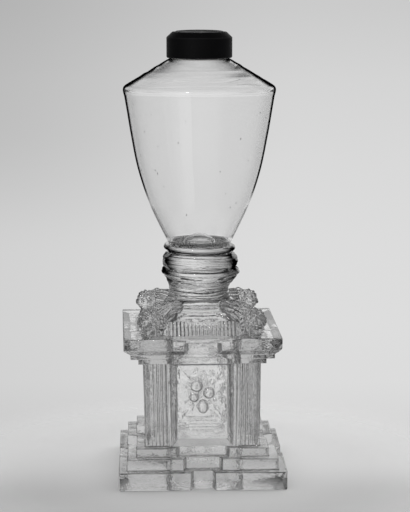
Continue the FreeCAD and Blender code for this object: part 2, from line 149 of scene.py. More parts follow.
@dataclass(frozen=True)
class ClearGlass:
    """Old clear lead glass, smooth from the fire: it shows a bent and darkened picture of what lies behind.

    Slanted faces take painted shade, a dark colour that stands in for the dark room that the real lamp's edges show;
    a foot may take a painted grey shade, or white that keeps the edges' shade off it. Haze gives thick glass its grey.
    The slow ripples and the pits are drawn deeper than real ones, so that they show in the render.
    """

    name: str
    ripple_mm: float
    ripple_depth_mm: float
    ripple_flatness: float = 1.0
    pit_mm: float = 1.3
    pit_depth_mm: float = 0.0
    calm_mm: Pair | None = None  # heights between which the relief fades to calm_share of itself
    calm_share: float = 0.15
    face_hex: str = "ffffff"
    # painted shade: the dark colour that slanted faces take, standing in for the dark room seen in the edges
    edge_shade_hex: str | None = None
    edge_span: Pair = (0.66, 0.94)
    flat_span: Pair = (0.88, 0.95)  # level faces, whose normal's upward part lies past this, take no painted shade
    patch_span: Pair | None = None  # noise levels between which the painted edge shade breaks into patches
    # painted shade of the foot, or white that keeps the edges' painted shade off it
    foot_shade_hex: str = "ffffff"
    foot_shade_mm: Pair | None = None  # heights between which the foot's painted shade, or its white, gives way to the glass's own colour
    ior: float = 1.52
    roughness: float = 0.0
    shadow_hex: str = "f6f6f6"
    haze_per_m: float = 0.0

    def relief(self, tree: bpy.types.NodeTree, place: bpy.types.NodeSocket,
               ripple: bpy.types.NodeSocket) -> bpy.types.NodeSocket:
        """Raise the surface in slow ripples and fine pits.

        Args:
            tree: Node tree that takes the nodes.
            place: Place on the piece.
            ripple: Noise of the ripples.

        Returns:
            The normal that they give.
        """
        height = add_node(tree, "Math", {0: ripple, 1: self.ripple_depth_mm * MM}, operation="MULTIPLY")
        if self.pit_depth_mm:
            pits = add_node(tree, "TexNoise", {
                "Vector": place, "Scale": 1 / (self.pit_mm * MM), "Detail": 2.0,
            }, "Fac")
            height = add_node(tree, "Math", {0: pits, 1: self.pit_depth_mm * MM, 2: height}, operation="MULTIPLY_ADD")
        if self.calm_mm:
            low, high = self.calm_mm
            calm = add_node(tree, "MapRange", {
                "Value": add_node(tree, "SeparateXYZ", {0: place}, "Z"),
                1: low * MM, 2: high * MM, 3: 1.0, 4: self.calm_share,
            })
            height = add_node(tree, "Math", {0: height, 1: calm}, operation="MULTIPLY")
        return add_node(tree, "Bump", {"Height": height, "Strength": 1.0, "Distance": 1.0})

    def tint(self, tree: bpy.types.NodeTree, place: bpy.types.NodeSocket,
             ripple: bpy.types.NodeSocket) -> bpy.types.NodeSocket | Quad:
        """Paint shade on slanted faces, and paint the foot: grey shade, or white that keeps the edges' shade off it.

        Args:
            tree: Node tree that takes the nodes.
            place: Place on the piece.
            ripple: Noise that the painted shade follows where it is broken into patches.

        Returns:
            The colour of the glass with its painted shade, as a plain value where it is the same all over.
        """
        colour = to_linear(self.face_hex)
        # painted shade: slanted faces darken towards the edge colour, level faces stay clear
        if self.edge_shade_hex:
            edge = add_node(tree, "MapRange", {
                "Value": add_node(tree, "LayerWeight", out="Facing"), 1: self.edge_span[0], 2: self.edge_span[1],
            }, interpolation_type="SMOOTHSTEP")
            upward = add_node(tree, "SeparateXYZ", {0: add_node(tree, "NewGeometry", out="Normal")}, "Z")
            steep = add_node(tree, "MapRange", {
                "Value": add_node(tree, "Math", {0: upward}, operation="ABSOLUTE"),
                1: self.flat_span[0], 2: self.flat_span[1], 3: 1.0, 4: 0.0,
            }, interpolation_type="SMOOTHSTEP")
            edge = add_node(tree, "Math", {0: edge, 1: steep}, operation="MULTIPLY")
            if self.patch_span:
                patch = add_node(tree, "MapRange", {
                    "Value": ripple, 1: self.patch_span[0], 2: self.patch_span[1],
                }, interpolation_type="SMOOTHSTEP")
                edge = add_node(tree, "Math", {0: edge, 1: patch}, operation="MULTIPLY")
            colour = add_node(tree, "Mix", {"Factor": edge, 6: colour, 7: to_linear(self.edge_shade_hex)}, 2,
                              data_type="RGBA")
        # the foot's colour: painted grey shade, or white that lifts the edges' painted shade
        if self.foot_shade_mm:
            rise = add_node(tree, "MapRange", {
                "Value": add_node(tree, "SeparateXYZ", {0: place}, "Z"),
                1: self.foot_shade_mm[0] * MM, 2: self.foot_shade_mm[1] * MM,
            }, interpolation_type="SMOOTHSTEP")
            colour = add_node(tree, "Mix", {"Factor": rise, 6: to_linear(self.foot_shade_hex), 7: colour}, 2,
                              data_type="RGBA")
        return colour

    def build(self) -> bpy.types.Material:
        """Make the glass material.

        Returns:
            The material.
        """
        material = new_material(self.name)
        tree = material.node_tree
        place = add_node(tree, "TexCoord", out="Object")
        drawn = add_node(tree, "VectorMath", {0: place, 1: (1.0, 1.0, self.ripple_flatness)}, operation="MULTIPLY")
        ripple = add_node(tree, "TexNoise", {
            "Vector": drawn, "Scale": 1 / (self.ripple_mm * MM), "Detail": 1.5, "Roughness": 0.4,
        }, "Fac")
        glass = add_node(tree, "BsdfGlass", {
            "Color": self.tint(tree, place, ripple), "Roughness": self.roughness, "IOR": self.ior,
            "Normal": self.relief(tree, place, ripple),
        })
        clear = add_node(tree, "BsdfTransparent", {"Color": to_linear(self.shadow_hex)})
        shadow = add_node(tree, "LightPath", out="Is Shadow Ray")
        end_glass(tree, add_node(tree, "MixShader", {0: shadow, 1: glass, 2: clear}), self.haze_per_m)
        return material


@dataclass(frozen=True)
class FusedJoint:
    """Face inside the glass where two gathers were welded hot, so the eye sees nothing there."""

    name: str = "fused_joint"
    haze_per_m: float = 0.0  # of the glass that it bounds

    def build(self) -> bpy.types.Material:
        """Make the invisible joint.

        Returns:
            The material.
        """
        material = new_material(self.name)
        tree = material.node_tree
        end_glass(tree, add_node(tree, "BsdfTransparent", {"Color": to_linear("ffffff")}), self.haze_per_m)
        return material


@dataclass(frozen=True)
class DarkPewter:
    """Cast pewter gone nearly black with age: a dull skin, whose sharp edges turn grey, partly worn metal and partly a
    painted highlight.
    """

    name: str = "oxidised_pewter"
    skin_hex: str = "070708"
    patch_hex: str = "0c0c0d"
    wear_and_highlight_hex: str = "5a5a5c"
    wear_and_highlight_span: Pair = (0.52, 0.57)  # pointiness between which the edges turn grey: partly worn metal, partly a painted highlight
    grain_mm: float = 0.5
    patch_mm: float = 7.0
    turning_mm: float = 0.45  # pitch of the lathe's marks
    mark_share: float = 0.25
    mark_depth_mm: float = 0.05
    roughness_span: Pair = (0.42, 0.62)
    metallic: float = 0.2
    specular: float = 0.1

    def build(self) -> bpy.types.Material:
        """Make the pewter material.

        Returns:
            The material.
        """
        material = new_material(self.name)
        tree = material.node_tree
        place = add_node(tree, "TexCoord", out="Object")
        patches = add_node(tree, "TexNoise", {
            "Vector": place, "Scale": 1 / (self.patch_mm * MM), "Detail": 5.0, "Roughness": 0.65,
        }, "Fac")
        skin = add_node(tree, "Mix", {
            "Factor": patches, 6: to_linear(self.skin_hex), 7: to_linear(self.patch_hex),
        }, 2, data_type="RGBA")
        # worn metal and painted highlight: sharp edges, picked out by pointiness, turn lighter grey
        edge = add_node(tree, "MapRange", {
            "Value": add_node(tree, "NewGeometry", out="Pointiness"), 1: self.wear_and_highlight_span[0], 2: self.wear_and_highlight_span[1],
        })
        worn = add_node(tree, "Math", {0: edge, 1: patches}, operation="MULTIPLY")
        colour = add_node(tree, "Mix", {"Factor": worn, 6: skin, 7: to_linear(self.wear_and_highlight_hex)}, 2, data_type="RGBA")
        grain = add_node(tree, "TexNoise", {"Vector": place, "Scale": 1 / (self.grain_mm * MM), "Detail": 3.0}, "Fac")
        rough = add_node(tree, "MapRange", {"Value": grain, 3: self.roughness_span[0], 4: self.roughness_span[1]})
        # A wave texture of scale 1 has 20 bands a metre
        turning = add_node(tree, "TexWave", {
            "Vector": place, "Scale": 1 / (self.turning_mm * MM) / 20, "Distortion": 1.5, "Detail": 1.0,
        }, "Fac", bands_direction="Z")
        marks = add_node(tree, "Math", {0: turning, 1: self.mark_share, 2: grain}, operation="MULTIPLY_ADD")
        bump = add_node(tree, "Bump", {"Height": marks, "Strength": 0.25, "Distance": self.mark_depth_mm * MM})
        skin_shader = add_node(tree, "BsdfPrincipled", {
            "Base Color": colour, "Roughness": rough, "Metallic": self.metallic,
            "Specular IOR Level": self.specular, "Normal": bump,
        })
        add_node(tree, "OutputMaterial", {"Surface": skin_shader})
        return material


@dataclass(frozen=True)
class Plaster:
    """Plaster of Paris between metal and glass: chalky, pale and a little porous."""

    name: str = "plaster"
    light_hex: str = "e2e1de"
    dark_hex: str = "c4c3c0"
    grain_mm: float = 0.8  # coarser than real grains, which would not show
    grain_depth_mm: float = 0.2
    roughness: float = 0.9

    def build(self) -> bpy.types.Material:
        """Make the plaster material.

        Returns:
            The material.
        """
        material = new_material(self.name)
        tree = material.node_tree
        place = add_node(tree, "TexCoord", out="Object")
        grain = add_node(tree, "TexNoise", {
            "Vector": place, "Scale": 1 / (self.grain_mm * MM), "Detail": 6.0, "Roughness": 0.7,
        }, "Fac")
        colour = add_node(tree, "Mix", {
            "Factor": grain, 6: to_linear(self.dark_hex), 7: to_linear(self.light_hex),
        }, 2, data_type="RGBA")
        bump = add_node(tree, "Bump", {"Height": grain, "Strength": 0.5, "Distance": self.grain_depth_mm * MM})
        body = add_node(tree, "BsdfPrincipled", {"Base Color": colour, "Roughness": self.roughness, "Normal": bump})
        add_node(tree, "OutputMaterial", {"Surface": body})
        return material


def turn(points: Points, quarter: float) -> Points:
    """Turn points about the lamp's axis.

    Args:
        points: Array of points, one row each.
        quarter: Number of quarter turns.

    Returns:
        The turned points.
    """
    angle = quarter * math.pi / 2
    c, s = math.cos(angle), math.sin(angle)
    return points @ np.array([[c, s, 0], [-s, c, 0], [0, 0, 1]])


def all_round(side: Points) -> Points:
    """Repeat one side of a plan outline on all four sides.

    Args:
        side: Points of the front side, from left to right.

    Returns:
        The whole outline, anticlockwise from above.
    """
    return np.concatenate([turn(side, quarter) for quarter in range(SIDES)])


def polar(points: Points) -> tuple[Points, Points]:
    """Find where points lie about the lamp's axis.

    Args:
        points: Array of points, one row each.

    Returns:
        Their angles about the axis and their distances from it.
    """
    return np.arctan2(points[:, 1], points[:, 0]), np.hypot(points[:, 0], points[:, 1])


def circle(radius: float | Points, z: float, count: int) -> Points:
    """Ring of points about the lamp's axis.

    Args:
        radius: Radius of the ring, or one for each point.
        z: Its height.
        count: Number of points.

    Returns:
        The points, anticlockwise from above.
    """
    angles = 2 * np.pi * np.arange(count) / count
    return np.stack([radius * np.cos(angles), radius * np.sin(angles), np.full(count, z)], 1)


def smooth_run(points: Profile, steps: int) -> Profile:
    """Run a smooth Catmull-Rom line through (radius, height) points.

    Args:
        points: Points that the line passes through.
        steps: Straight steps between two neighbours.

    Returns:
        All the points of the line, the given ones among them.
    """
    p = [np.array(q, float) for q in points]
    p = [2 * p[0] - p[1]] + p + [2 * p[-1] - p[-2]]
    out = []
    for a, b, c, d in zip(p, p[1:], p[2:], p[3:]):
        for i in range(steps):
            t = i / steps
            out.append(tuple(0.5 * (2 * b + (c - a) * t + (2 * a - 5 * b + 4 * c - d) * t * t
                                    + (3 * b - a - 3 * c + d) * t ** 3)))
    out.append(tuple(p[-2]))
    return out


def arc_run(start: Pair, end: Pair, bulge: float, steps: int) -> Profile:
    """Round line from start to end that bulges to the right of its way by bulge.

    Args:
        start: First (radius, height) point.
        end: Last point.
        bulge: Height of the arch over the straight line between them.
        steps: Straight steps on the arch.

    Returns:
        The points, without the last one.
    """
    a, b = np.array(start, float), np.array(end, float)
    along = b - a
    side = np.array([along[1], -along[0]]) / max(np.hypot(*along), 1e-9)
    return [tuple(a + along * (1 - math.cos(math.pi * i / steps)) / 2 + side * bulge * math.sin(math.pi * i / steps))
            for i in range(steps)]


class Blank:
    """Closed solids in millimetres that are gathered in one mesh."""

    def __init__(self) -> None:
        """Start with nothing."""
        self.points: list[Points] = []
        self.faces: list[tuple[int, ...]] = []
        self.slots: list[int] = []
        self.count = 0

    def add(self, points: Points, faces: list[tuple[int, ...]], slots: list[int] | None = None) -> None:
        """Add one closed solid.

        Args:
            points: Its points, one row each.
            faces: Corner numbers of its faces, counted from its own first point.
            slots: Material slots of the faces, or None for the outer skin's.
        """
        self.points.append(points)
        self.faces += [tuple(i + self.count for i in face) for face in faces]
        self.slots += slots or [Skin.OUTER] * len(faces)
        self.count += len(points)

    def loft(self, rings: list[Points]) -> None:
        """Add a solid through rings of equally many points, from the lowest to the highest.

        Args:
            rings: Plan outlines, anticlockwise from above.
        """
        n = len(rings[0])
        faces = []
        for k in range(len(rings) - 1):
            for i in range(n):
                j = (i + 1) % n
                faces.append((k * n + i, k * n + j, (k + 1) * n + j, (k + 1) * n + i))
        faces.append(tuple(range(n - 1, -1, -1)))
        faces.append(tuple((len(rings) - 1) * n + i for i in range(n)))
        self.add(np.concatenate(rings), faces)

    def lump(self, centre: Vector, radii: Triple, axes: Matrix | None = None,
             rows: int = 10, columns: int = 16, hollow: bool = False) -> None:
        """Add a rounded lump.

        Args:
            centre: Middle of the lump.
            radii: Half sizes along its own three axes.
            axes: Matrix whose columns are those axes, or None for the lamp's.
            rows: Rows of faces from pole to pole.
            columns: Faces round it.
            hollow: True for a bubble, whose faces look inwards.
        """
        points = [(0, 0, -1)]
        for i in range(1, rows):
            lift = -math.cos(math.pi * i / rows)
            reach = math.sin(math.pi * i / rows)
            for k in range(columns):
                angle = 2 * math.pi * k / columns
                points.append((reach * math.cos(angle), reach * math.sin(angle), lift))
        points.append((0, 0, 1))
        top = len(points) - 1
        faces = []
        for k in range(columns):
            j = (k + 1) % columns
            faces.append((0, 1 + j, 1 + k))
            faces.append((top, top - columns + k, top - columns + j))
            for i in range(rows - 2):
                low, high = 1 + i * columns, 1 + (i + 1) * columns
                faces.append((low + k, low + j, high + j, high + k))
        array = np.array(points, float) * radii
        if axes is not None:
            array = array @ np.array(axes).T
        if hollow:
            faces = [tuple(reversed(face)) for face in faces]
        self.add(array + np.array(centre), faces)

    def tube(self, path: Points, radii: list[float], sides: int = 10) -> None:
        """Add a round strand along a path.

        Args:
            path: Points of its middle line, one row each.
            radii: Its radius at each of them.
            sides: Faces round it.
        """
        angles = 2 * np.pi * np.arange(sides) / sides
        rings = []
        for k, (middle, radius) in enumerate(zip(path, radii)):
            ahead = path[min(k + 1, len(path) - 1)] - path[max(k - 1, 0)]
            ahead = ahead / np.linalg.norm(ahead)
            side = np.cross(ahead, (0.0, 0.0, 1.0) if abs(ahead[2]) < 0.9 else (1.0, 0.0, 0.0))
            side /= np.linalg.norm(side)
            rise = np.cross(ahead, side)
            rings.append(middle + radius * (np.outer(np.cos(angles), side) + np.outer(np.sin(angles), rise)))
        self.loft(rings)

    def lathe(self, profile: Profile, columns: int, joints: set[int] = frozenset()) -> None:
        """Add a solid of revolution whose profile starts and ends on the axis, or is closed off it.

        Args:
            profile: (radius, height) points, anticlockwise seen with the axis on the left.
            columns: Faces round the axis.
            joints: Numbers of the profile's runs that are welded to a neighbour.
        """
        on_axis = profile[0][0] == 0
        inner = profile[1:-1] if on_axis else profile
        points = np.concatenate([circle(r, z, columns) for r, z in inner])
        faces, slots = [], []
        last = len(inner) - 1
        for k in range(last if on_axis else last + 1):
            low, high = k * columns, ((k + 1) % len(inner)) * columns
            slot = int(k + int(on_axis) in joints)
            for i in range(columns):
                j = (i + 1) % columns
                faces.append((low + i, low + j, high + j, high + i))
                slots.append(slot)
        if on_axis:
            foot, head = len(points), len(points) + 1
            points = np.concatenate([points, [(0, 0, profile[0][1]), (0, 0, profile[-1][1])]])
            for i in range(columns):
                j = (i + 1) % columns
                faces += [(foot, j, i), (head, last * columns + i, last * columns + j)]
                slots += [int(0 in joints), int(len(profile) - 2 in joints)]
        self.add(points, faces, slots)

    def shift(self, along_x: float) -> None:
        """Move all the solids along X."""
        for points in self.points:
            points[:, 0] += along_x

    def to_object(self, name: str) -> bpy.types.Object:
        """Make a Blender object of the solids, in metres.

        Args:
            name: Name of the piece.

        Returns:
            The object, linked to the scene.
        """
        mesh = bpy.data.meshes.new(name)
        mesh.from_pydata((np.concatenate(self.points) * MM).tolist(), [], self.faces)
        mesh.polygons.foreach_set("material_index", self.slots)
        mesh.update()
        piece = bpy.data.objects.new(name, mesh)
        bpy.context.scene.collection.objects.link(piece)
        return piece


def apply_modifiers(piece: bpy.types.Object) -> None:
    """Turn what an object's modifiers make into its own mesh.

    Args:
        piece: Object with modifiers.
    """
    graph = bpy.context.evaluated_depsgraph_get()
    mesh = bpy.data.meshes.new_from_object(piece.evaluated_get(graph))
    piece.modifiers.clear()
    old = piece.data
    piece.data = mesh
    bpy.data.meshes.remove(old)


def read_points(mesh: bpy.types.Mesh) -> Points:
    """Read a mesh's points, in millimetres.

    Args:
        mesh: Mesh in metres.

    Returns:
        Array of points, one row each.
    """
    flat = np.empty(len(mesh.vertices) * 3, np.float32)
    mesh.vertices.foreach_get("co", flat)
    return flat.reshape(-1, 3).astype(float) / MM


def place_piece(piece: bpy.types.Object, node: str, finishes: list[bpy.types.Material]) -> None:
    """Give a piece its finish, let it stand for its CAD node and report it.

    Args:
        piece: Finished mesh object.
        node: CAD node that the piece replaces.
        finishes: Materials of the piece's own slots.
    """
    for finish in finishes:
        piece.data.materials.append(finish)
    piece.data.shade_smooth()
    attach(piece, "root")
    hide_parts(node)
    LOG.info("%s: %d faces for %s", piece.name, len(piece.data.polygons), node)


@dataclass
class BoreThread:
    """Coarse thread that the burner screws into."""

    radius: float = 11.1
    depth: float = 0.7
    pitch: float = 1.7

    def reach(self, angle: Points, height: Points, low: float, high: float) -> Points:
        """Find how far the thread's groove reaches from the axis.

        Args:
            angle: Angles about the axis.
            height: Heights of the same points.
            low: Height of the thread's lower end.
            high: Height of its upper end.

        Returns:
            Radii of the groove's surface.
        """
        phase = height / self.pitch - angle / (2 * math.pi)
        groove = np.clip(np.abs((phase % 1.0) * 2 - 1) * 1.5 - 0.25, 0, 1)
        fade = np.clip(np.minimum(height - low, high - height) / (0.4 * self.pitch), 0, 1)
        return self.radius + self.depth * groove * fade


@dataclass
class Collar:
    """Cast pewter collar and the plaster that holds it on the neck."""

    finish: DarkPewter = field(default_factory=DarkPewter)
    # painted light: a much lighter copy of the pewter on the thread's faces, standing in for light on the bore's far
    # wall
    lit_bore_finish: DarkPewter = DarkPewter("pewter_painted_lit", "5c5c5c", "848484", "9c9c9c")
    cement: Plaster = field(default_factory=Plaster)
    thread: BoreThread = field(default_factory=BoreThread)
    radius: float = 17.6
    wall: float = 1.9
    foot_z: float = 226.2
    bore_z: float = 235.0
    top_z: float = 240.6
    chamfer_width: float = 3.1
    chamfer_height: float = 2.85
    lip_radius: float = 12.8
    lip_height: float = 0.65
    lip_dip: float = 0.6  # how far the lip is worn down at the front
    lip_reach: float = 2.5
    thread_steps: int = 40
    edge_round: float = 0.3
    neck_radius: float = 13.4
    neck_root_z: float = 228.0
    crest_z: float = 226.1
    columns: int = 160

    def profile(self) -> Profile:
        """Trace the collar's section with its edges rounded, the bore in short steps.

        Returns:
            The section's points.
        """
        inner = self.radius - self.wall
        shelf = self.top_z - self.lip_height
        slope_foot = shelf - self.chamfer_height
        slope_top = self.radius - self.chamfer_width
        e = self.edge_round
        points = [(inner, self.foot_z), (self.radius - 3 * e, self.foot_z)]
        points += arc_run((self.radius - 2 * e, self.foot_z), (self.radius, self.foot_z + 2 * e), 0.4 * e, 4)
        points += [(self.radius, self.foot_z + 2 * e), (self.radius, self.foot_z + 4 * e)]
        points += [(self.radius, slope_foot - 3 * e), (self.radius, slope_foot - 0.7 * e)]
        points += [(self.radius - 0.25 * e, slope_foot), (self.radius - 0.9 * e, slope_foot + 0.75 * e)]
        points += [(slope_top + 0.9 * e, shelf - 0.75 * e), (slope_top + 0.2 * e, shelf - 0.1 * e)]
        points += [(slope_top - 0.8 * e, shelf), (self.lip_radius + e, shelf), (self.lip_radius, shelf + 0.3 * e)]
        points += [(self.lip_radius, self.top_z - 0.8 * e), (self.lip_radius - 0.8 * e, self.top_z)]
        points += [(self.thread.radius + 1.2 * e, self.top_z), (self.thread.radius, self.top_z - 0.9 * e)]
        fall, steps = self.top_z - e - self.bore_z, self.thread_steps
        points += [(self.thread.radius, self.top_z - e - fall * (i + 1) / steps) for i in range(steps)]
        points.append((inner, self.bore_z))
        return points

    def build_collar(self) -> None:
        """Turn the collar and cut its thread."""
        blank = Blank()
        profile = self.profile()
        # the thread's faces go to the second slot, the lighter pewter that is painted light on the bore
        threaded = {i for i, (r, z) in enumerate(profile) if r == self.thread.radius and z > self.bore_z + 0.1}
        blank.lathe(profile, self.columns, threaded)
        points = blank.points[0]
        angle, radius = polar(points)
        low, high = self.bore_z + 0.05, self.top_z - self.edge_round
        bore = (np.abs(radius - self.thread.radius) < 0.01) & (points[:, 2] > low) & (points[:, 2] < high)
        reach = self.thread.reach(angle[bore], points[bore, 2], low, high)
        points[bore, :2] *= (reach / radius[bore])[:, None]
        lip = (radius < self.lip_radius + self.edge_round) & (points[:, 2] > self.top_z - self.lip_reach)
        share = np.clip((points[lip, 2] - self.top_z + self.lip_reach) / self.lip_reach, 0, 1)
        points[lip, 2] -= self.lip_dip * share * (0.5 - points[lip, 1] / (2 * self.lip_radius))
        blank.shift(LEAN_MM)
        piece = blank.to_object("collar_body")
        place_piece(piece, "collar", [self.finish.build(), self.lit_bore_finish.build()])
        piece.data.set_sharp_from_angle(angle=math.radians(50))

    def build_cement(self) -> None:
        """Fill the space under the collar, with a thin uneven edge that shows below its skirt."""
        inner = self.radius - self.wall
        blank = Blank()
        rise = self.bore_z - self.neck_root_z
        side = [(inner, self.crest_z + (self.bore_z - self.crest_z) * i / 12) for i in range(13)]
        back = [(self.neck_radius, self.bore_z - rise * i / 8) for i in range(9)]
        blank.lathe(side + back, self.columns)
        points = blank.points[0]
        angle, _ = polar(points)
        skirt = points[:, 2] < self.foot_z
        wave = 0.05 + 0.04 * np.sin(5 * angle + 0.7) + 0.03 * np.sin(13 * angle)
        points[skirt, 2] += wave[skirt] * 0.4
        blank.shift(LEAN_MM)
        piece = blank.to_object("collar_plaster")
        place_piece(piece, "collar_cement", [self.cement.build()])

    def build(self) -> None:
        """Make the collar and its plaster."""
        self.build_collar()
        self.build_cement()


@dataclass
class BlownFont:
    """Free-blown reservoir: thin uneven wall, a kick with air caught under it, seeds of air in the glass."""

    glass: ClearGlass
    joint: FusedJoint
    inside: ClearGlass
    shoulder_glass: ClearGlass
    foot_z: float = 125.4
    foot_radius: float = 16.5
    shoulder_radius: float = 40.4
    shoulder_z: float = 206.0
    swell_shares: tuple[Pair, ...] = ((0.25, 0.41), (0.5, 0.694), (0.75, 0.865))
    wall: float = 0.8
    foot_wall: float = 1.8
    foot_wall_rise: float = 22.0
    shoulder: tuple[Pair, ...] = (
        (40.9, 208.0), (41.05, 209.4), (40.75, 210.6), (39.9, 211.6), (38.4, 212.6),
    )
    inner_shoulder: tuple[Pair, ...] = (
        (37.6, 211.9), (38.9, 210.9), (39.9, 209.5), (40.05, 208.0), (39.55, 205.4),
    )
    cone_top: Pair = (17.8, 224.9)
    crest: Pair = (15.7, 226.1)
    neck_root: Pair = (13.4, 228.0)
    inner_neck: tuple[Pair, ...] = (
        (11.5, 229.4), (11.6, 227.4), (12.6, 226.0), (15.0, 224.9), (19.6, 222.4), (29.0, 216.9),
    )
    floor: tuple[Pair, ...] = (
        (16.6, 129.4), (15.8, 127.8), (14.4, 126.9), (12.2, 126.5), (10.4, 126.5), (9.0, 127.0), (7.9, 127.9),
        (6.6, 128.9), (5.0, 129.8), (3.3, 130.5), (1.6, 130.9), (0.0, 131.0),
    )
    pocket: tuple[Pair, ...] = (
        (0.0, 130.3), (1.5, 130.2), (3.1, 129.8), (4.8, 129.0), (6.2, 128.0), (7.1, 126.9), (7.4, 125.8), (0.0, 125.8),
    )
    neck_wall: float = 1.9
    rim_z: float = 234.9
    side_steps: int = 14
    waviness: float = 0.12
    streak_pitch: float = 5.2
    streak_depth: float = 0.16
    seed_count: int = 26
    seed: int = 7  # of the random draws
    columns: int = 192

    def side(self) -> Profile:
        """Trace the outer face of the swelling side from the foot to the shoulder.

        Returns:
            The points, from the lowest up.
        """
        swell = self.shoulder_radius - self.foot_radius
        body = self.shoulder_z - self.foot_z
        points = [(self.foot_radius, self.foot_z)]
        points += [(self.foot_radius + swell * s, self.foot_z + body * h) for h, s in self.swell_shares]
        return smooth_run(points + [(self.shoulder_radius, self.shoulder_z), self.shoulder[0]],
                          self.side_steps)[:-self.side_steps]

    def inner_side(self) -> Profile:
        """Trace the inner face of the side from the shoulder down to the floor's edge.

        Returns:
            The points, from the highest down.
        """
        outer = self.side()
        points = []
        for (r0, z0), (r1, z1) in zip(outer, outer[2:]):
            z = (z0 + z1) / 2
            thick = self.wall + (self.foot_wall - self.wall) * max(0.0, 1 - (z - self.foot_z) / self.foot_wall_rise)
            points.append(((r0 + r1) / 2 - thick * math.hypot(r1 - r0, z1 - z0) / (z1 - z0), z))
        return [p for p in reversed(points) if self.floor[0][1] + 1 < p[1] < self.inner_shoulder[-1][1] - 1]

    def profile(self) -> Profile:
        """Trace the whole section from the axis under the bottom to the axis over it.

        Returns:
            The section's points.
        """
        rim_inner = self.neck_root[0] - self.neck_wall
        points = [(0, self.foot_z)] + self.side()[:-1]
        points += smooth_run([(self.shoulder_radius, self.shoulder_z), *self.shoulder], 4)
        points += [self.between((self.shoulder[-1], self.cone_top), i / 10) for i in range(1, 10)]
        points += smooth_run([self.cone_top, self.crest, self.neck_root], 5)
        points += [(self.neck_root[0], self.rim_z - 0.8), (self.neck_root[0] - 0.3, self.rim_z - 0.2)]
        points += [(self.neck_root[0] - 0.8, self.rim_z), (rim_inner + 0.6, self.rim_z)]
        points.append((rim_inner, self.rim_z - 0.6))
        points += smooth_run([*self.inner_neck, *self.inner_shoulder], 5)
        points += self.inner_side()
        return points + smooth_run(list(self.floor), 6)

    @staticmethod
    def between(ends: tuple[Pair, Pair], share: float) -> Pair:
        """Point at a share of the straight way between two ends."""
        (a, b), (c, d) = ends
        return a + (c - a) * share, b + (d - b) * share

    def warp(self, points: Points) -> Points:
        """Let the blown wall wander a little, but not at the weld, the neck or the bead.

        Args:
            points: Points of the turned font.

        Returns:
            The same points, pushed in or out.
        """
        angle, radius = polar(points)
        radius = np.maximum(radius, 1e-6)
        rise = points[:, 2] - self.foot_z
        wave = np.sin(2 * angle + 0.8) + 0.6 * np.sin(3 * angle + rise * 0.05) + 0.4 * np.sin(rise * 0.16 + angle)
        fade = np.clip(rise / 12, 0, 1) * np.clip((self.crest[1] - 2 - points[:, 2]) / 10, 0, 1)
        fade *= np.clip(radius / 12, 0, 1) * np.clip((self.shoulder[1][0] - radius) / 2.0, 0, 1)
        out = points.copy()
        out[:, :2] *= (1 - self.waviness * (1 + wave / 2) * fade / radius)[:, None]
        cone = np.clip((radius - self.cone_top[0] - 1) / 4, 0, 1)
        cone *= np.clip((self.shoulder[-1][0] - 1 - radius) / 3, 0, 1)
        cone *= points[:, 2] > self.shoulder_z + 6
        streak = np.sin(2 * np.pi * radius / self.streak_pitch + 1.4 * np.sin(2 * angle + 0.4) + angle)
        streak += 0.7 * np.sin(2 * np.pi * radius / (0.57 * self.streak_pitch) + 2.0 * np.sin(angle - 0.6))
        out[:, 2] += self.streak_depth * cone * streak * (0.6 + 0.4 * np.sin(3 * angle + radius * 0.4))
        return out

    def seeds(self, blank: Blank) -> None:
        """Add seeds, tiny drops of air drawn out along the wall.

        Args:
            blank: Solid that takes them.
        """
        chance = np.random.default_rng(self.seed)
        side = self.side()
        for _ in range(self.seed_count):
            radius, z = side[int(chance.integers(8, len(side) - 4))]
            radius -= self.wall / 2
            angle = chance.uniform(0, 2 * math.pi)
            size = chance.uniform(0.16, 0.38)
            radius -= self.waviness
            centre = Vector((radius * math.cos(angle), radius * math.sin(angle), z))
            axes = Matrix.Rotation(angle, 3, "Z")
            blank.lump(centre, (size * 0.8, size, size * chance.uniform(1.0, 1.9)), axes, 6, 8, hollow=True)

    def build(self) -> None:
        """Blow the font."""
        blank = Blank()
        profile = self.profile()
        blank.lathe(profile, self.columns, {0})
        rim = max(range(len(profile)), key=lambda i: profile[i][1])
        turn_in = next(i for i in range(rim, len(profile)) if profile[i][0] > self.inner_shoulder[0][0])
        runs = ((Skin.INNER_CONE, rim + 2, turn_in - 1), (Skin.INNER, turn_in - 1, len(profile) - 3))
        for slot, first, last in runs:
            blank.slots[first * self.columns:last * self.columns] = [slot] * ((last - first) * self.columns)
        blank.points[0] = self.warp(blank.points[0])
        blank.lathe(list(self.pocket), 64)
        self.seeds(blank)
        blank.shift(LEAN_MM)
        piece = blank.to_object("font_glass")
        place_piece(piece, "font", [
            self.glass.build(), self.joint.build(), self.inside.build(), self.shoulder_glass.build(),
        ])


